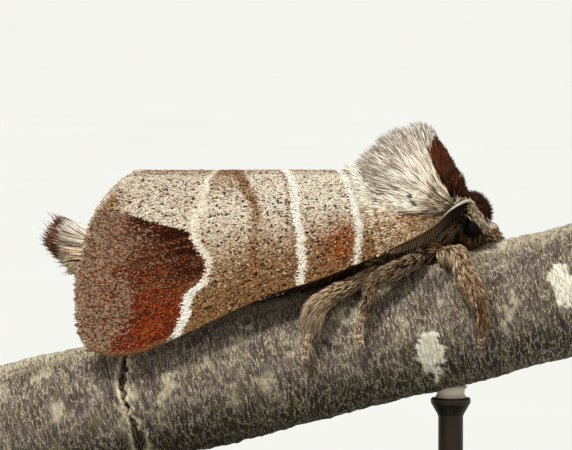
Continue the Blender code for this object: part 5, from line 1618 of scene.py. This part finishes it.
class MOTH_OT_stand(bpy.types.Operator):
    """Make the stand's base and rods, and the wax pads that hold the twig"""

    bl_idname = "moth.stand"
    bl_label = "Stand"

    def execute(self, context):
        self.base()
        brass, wax = self.blackened_brass(), self.wax()
        foot = [(BASE_THICK - 0.05, 0.01), (BASE_THICK - 0.05, ROD_FLARE), (BASE_THICK + 0.12, ROD_FLARE),
                (BASE_THICK + 0.22, ROD_FLARE - 0.06), (BASE_THICK + 0.5, ROD_RADIUS + 0.04),
                (BASE_THICK + 0.6, ROD_RADIUS)]
        head = [(-0.75, ROD_RADIUS), (-0.65, ROD_RADIUS + 0.04), (-0.3, ROD_FLARE - 0.06), (-0.2, ROD_FLARE),
                (-0.05, ROD_FLARE), (0.0, ROD_FLARE - 0.05), (-0.02, 0.5), (-0.02, 0.01)]
        pad = [(-0.03, 0.01), (-0.03, 0.6), (0.02, 0.63), (0.15, 0.55), (0.3, 0.56), (0.42, 0.66),
               (0.5, 0.6), (0.5, 0.01)]
        for x, word in ((ROD_X_REAR, "rear"), (ROD_X_FRONT, "front")):
            top = twig_axis_z(x) - TWIG_RADIUS / math.cos(math.atan(TWIG_RISE)) - ROD_CLEAR
            profile = foot + [(top + z, radius) for z, radius in head]
            rod = self.turned("stand_brass_" + word, x, profile, brass)
            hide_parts("stand_rod_" + word)
            profile = [(top + z, radius) for z, radius in pad]
            self.turned("stand_pad_" + word, x, profile, wax)
        return {"FINISHED"}

    def turned(self, name, x, profile, finish, sides=64):
        """Piece turned round an upright axis at x, from its height and radius along it."""
        turn = 2 * np.pi * np.arange(sides) / sides
        rings = [np.stack([x + r * np.cos(turn), r * np.sin(turn), np.full(sides, z)], axis=-1)
                 for z, r in profile]
        faces = ring_quads(len(profile), sides)
        first, hub = np.arange(sides), len(profile) * sides
        last = first + hub - sides
        caps = np.concatenate([np.stack([np.full(sides, hub), np.roll(first, -1), first], axis=-1),
                               np.stack([np.full(sides, hub + 1), last, np.roll(last, -1)], axis=-1)])
        tris = np.concatenate([faces[:, [0, 1, 2]], faces[:, [0, 2, 3]], caps])
        points = np.concatenate([*rings, [[x, 0.0, profile[0][0]], [x, 0.0, profile[-1][0]]]])
        piece = make_piece(name, points, tris, finish)
        piece.data.set_sharp_from_angle(angle=math.radians(35.0))
        return piece

    def base(self):
        """Slab with round corners and a rolled upper and lower edge."""
        half = np.array([0.5 * BASE_LONG - BASE_CORNER, 0.5 * BASE_WIDE - BASE_CORNER])
        loop = []
        for quarter, signs in enumerate(((1, 1), (-1, 1), (-1, -1), (1, -1))):
            for turn in np.linspace(0.0, 0.5 * np.pi, 17) + quarter * 0.5 * np.pi:
                loop.append((*(half * signs), math.cos(turn), math.sin(turn)))
        loop = np.array(loop)
        levels = [(0.0, 0.35), (0.1, 0.1), (0.35, 0.0), (BASE_THICK - 0.35, 0.0), (BASE_THICK - 0.2, 0.05),
                  (BASE_THICK - 0.1, 0.12), (BASE_THICK - 0.03, 0.23), (BASE_THICK, 0.35)]
        form = bmesh.new()
        add_loft(form, [np.column_stack([loop[:, :2] + loop[:, 2:] * (BASE_CORNER - inset),
                                         np.full(len(loop), z)]) for z, inset in levels])
        bmesh.ops.recalc_face_normals(form, faces=form.faces)
        slab = make_piece("stand_slab", *form_arrays(form), self.moulded())
        slab.data.set_sharp_from_angle(angle=math.radians(40.0))
        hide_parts("stand_base")

    def wax(self):
        """Cast wax, pale and matt, pressed by hand, so its surface is softly uneven."""
        made, tree, shader, place = new_finish("cast_wax", 0.55)
        lumps = noise_at(tree, place, 0.4)
        set_ramp(tree, shader, lumps, linear("b5ab95"), linear("cfc6b2"))
        set_bump(tree, shader, lumps, 0.4, 0.05)
        return made

    def moulded(self):
        """Black acrylic with a fine moulded grain, which softens the highlight to satin."""
        made, tree, shader, place = new_finish("moulded_acrylic", 0.4, Base_Color=(*linear("1d1d1f"), 1.0))
        grain = noise_at(tree, place, 0.25, 3.0)
        tree.links.new(between(tree, grain, 0.32, 0.5), shader.inputs["Roughness"])
        set_bump(tree, shader, grain, 0.2, 0.02)
        return made

    def blackened_brass(self):
        """Blackened brass rod: dark and matte, with fine drawn lines that stretch the highlight."""
        made, tree, shader, place = new_finish("blackened_brass", 0.5, Metallic=1.0)
        drawn = add(tree, "ShaderNodeMapping", {"Scale": (1.0, 1.0, 0.05)}, {"Vector": place})
        lines = noise_at(tree, drawn.outputs["Vector"], 0.06)
        set_ramp(tree, shader, lines, linear("2a2622"), linear("4a433a"))
        tree.links.new(between(tree, lines, 0.4, 0.6), shader.inputs["Roughness"])
        return made


class MOTH_OT_stage(bpy.types.Operator):
    """Set the floor, the light and the camera"""

    bl_idname = "moth.stage"
    bl_label = "Stage"

    def execute(self, context):
        self.floor(context)
        self.light(context)
        self.camera(context)
        return {"FINISHED"}

    def floor(self, context):
        """Painted board, pale and matt, wide enough to fill every view."""
        made, tree, shader, place = new_finish("painted_board", 0.9)
        set_ramp(tree, shader, noise_at(tree, place, 30.0), linear("d9d9d5"), linear("dfdfdb"))
        form = bmesh.new()
        bmesh.ops.create_circle(form, cap_ends=True, segments=96, radius=FLOOR_RADIUS)
        mesh = bpy.data.meshes.new("floor")
        form.to_mesh(mesh)
        form.free()
        mesh.materials.append(made)
        board = bpy.data.objects.new("floor", mesh)
        context.scene.collection.objects.link(board)

    def light(self, context):
        """Plain soft studio light, with the broad key above and a little behind the moth."""
        context.scene.view_settings.view_transform = "Standard"
        world = bpy.data.worlds.new("studio")
        context.scene.world = world
        world.use_nodes = True
        back = world.node_tree.nodes["Background"]
        back.inputs["Color"].default_value = (*linear("f4f3f1"), 1.0)
        back.inputs["Strength"].default_value = 0.47
        for name, strength, angle, way in (("key", 3.4, 14.0, (0.3, 0.55, -0.82)),
                                           ("fill", 0.3, 40.0, (-0.5, 0.8, -0.3))):
            lamp = bpy.data.lights.new(name, "SUN")
            lamp.energy = strength
            lamp.angle = math.radians(angle)
            holder = bpy.data.objects.new(name, lamp)
            holder.rotation_euler = Vector(way).to_track_quat("-Z", "Y").to_euler()
            context.scene.collection.objects.link(holder)

    def camera(self, context):
        """Camera of the photograph: almost level with the moth, far off, with a long lens."""
        lens = bpy.data.cameras.new("camera")
        lens.sensor_width = SENSOR
        lens.lens = SENSOR * VIEW_DISTANCE / VIEW_WIDTH
        lens.clip_start = 0.01
        lens.clip_end = 100.0
        holder = bpy.data.objects.new("camera", lens)
        rise = math.radians(VIEW_RISE)
        away = Vector((0.0, -math.cos(rise), math.sin(rise)))
        holder.location = (Vector(VIEW_CENTRE) + away * VIEW_DISTANCE) * MM
        holder.rotation_euler = (-away).to_track_quat("-Z", "Y").to_euler()
        context.scene.collection.objects.link(holder)
        context.scene.camera = holder


OPERATORS = (MOTH_OT_skin, MOTH_OT_crest, MOTH_OT_sides, MOTH_OT_head, MOTH_OT_legs, MOTH_OT_body,
             MOTH_OT_forewings, MOTH_OT_hindwings, MOTH_OT_feelers, MOTH_OT_twig, MOTH_OT_stand,
             MOTH_OT_stage)


class MOTH_PT_panel(bpy.types.Panel):
    """Lists the sizes, the colours and the pieces of the moth"""

    bl_idname = "MOTH_PT_panel"
    bl_label = "Moth"
    bl_space_type = "VIEW_3D"
    bl_region_type = "UI"
    bl_category = "Moth"

    def draw(self, context):
        for key in ("moth_sizes", "moth_colours", "twig_colours"):
            box = self.layout.box()
            settings = getattr(context.scene, key)
            for name in settings.__annotations__:
                box.prop(settings, name)
        for operator in OPERATORS:
            self.layout.operator(operator.bl_idname)


CLASSES = (MothSizes, MothColours, TwigColours, *OPERATORS, MOTH_PT_panel)


def register():
    for entry in CLASSES:
        bpy.utils.register_class(entry)
    bpy.types.Scene.moth_sizes = bpy.props.PointerProperty(type=MothSizes)
    bpy.types.Scene.moth_colours = bpy.props.PointerProperty(type=MothColours)
    bpy.types.Scene.twig_colours = bpy.props.PointerProperty(type=TwigColours)


def unregister():
    del bpy.types.Scene.moth_sizes
    del bpy.types.Scene.moth_colours
    del bpy.types.Scene.twig_colours
    for entry in reversed(CLASSES):
        bpy.utils.unregister_class(entry)


def main():
    register()
    for operator in OPERATORS:
        group, name = operator.bl_idname.split(".")
        getattr(getattr(bpy.ops, group), name)()


if __name__ == "__main__":
    main()
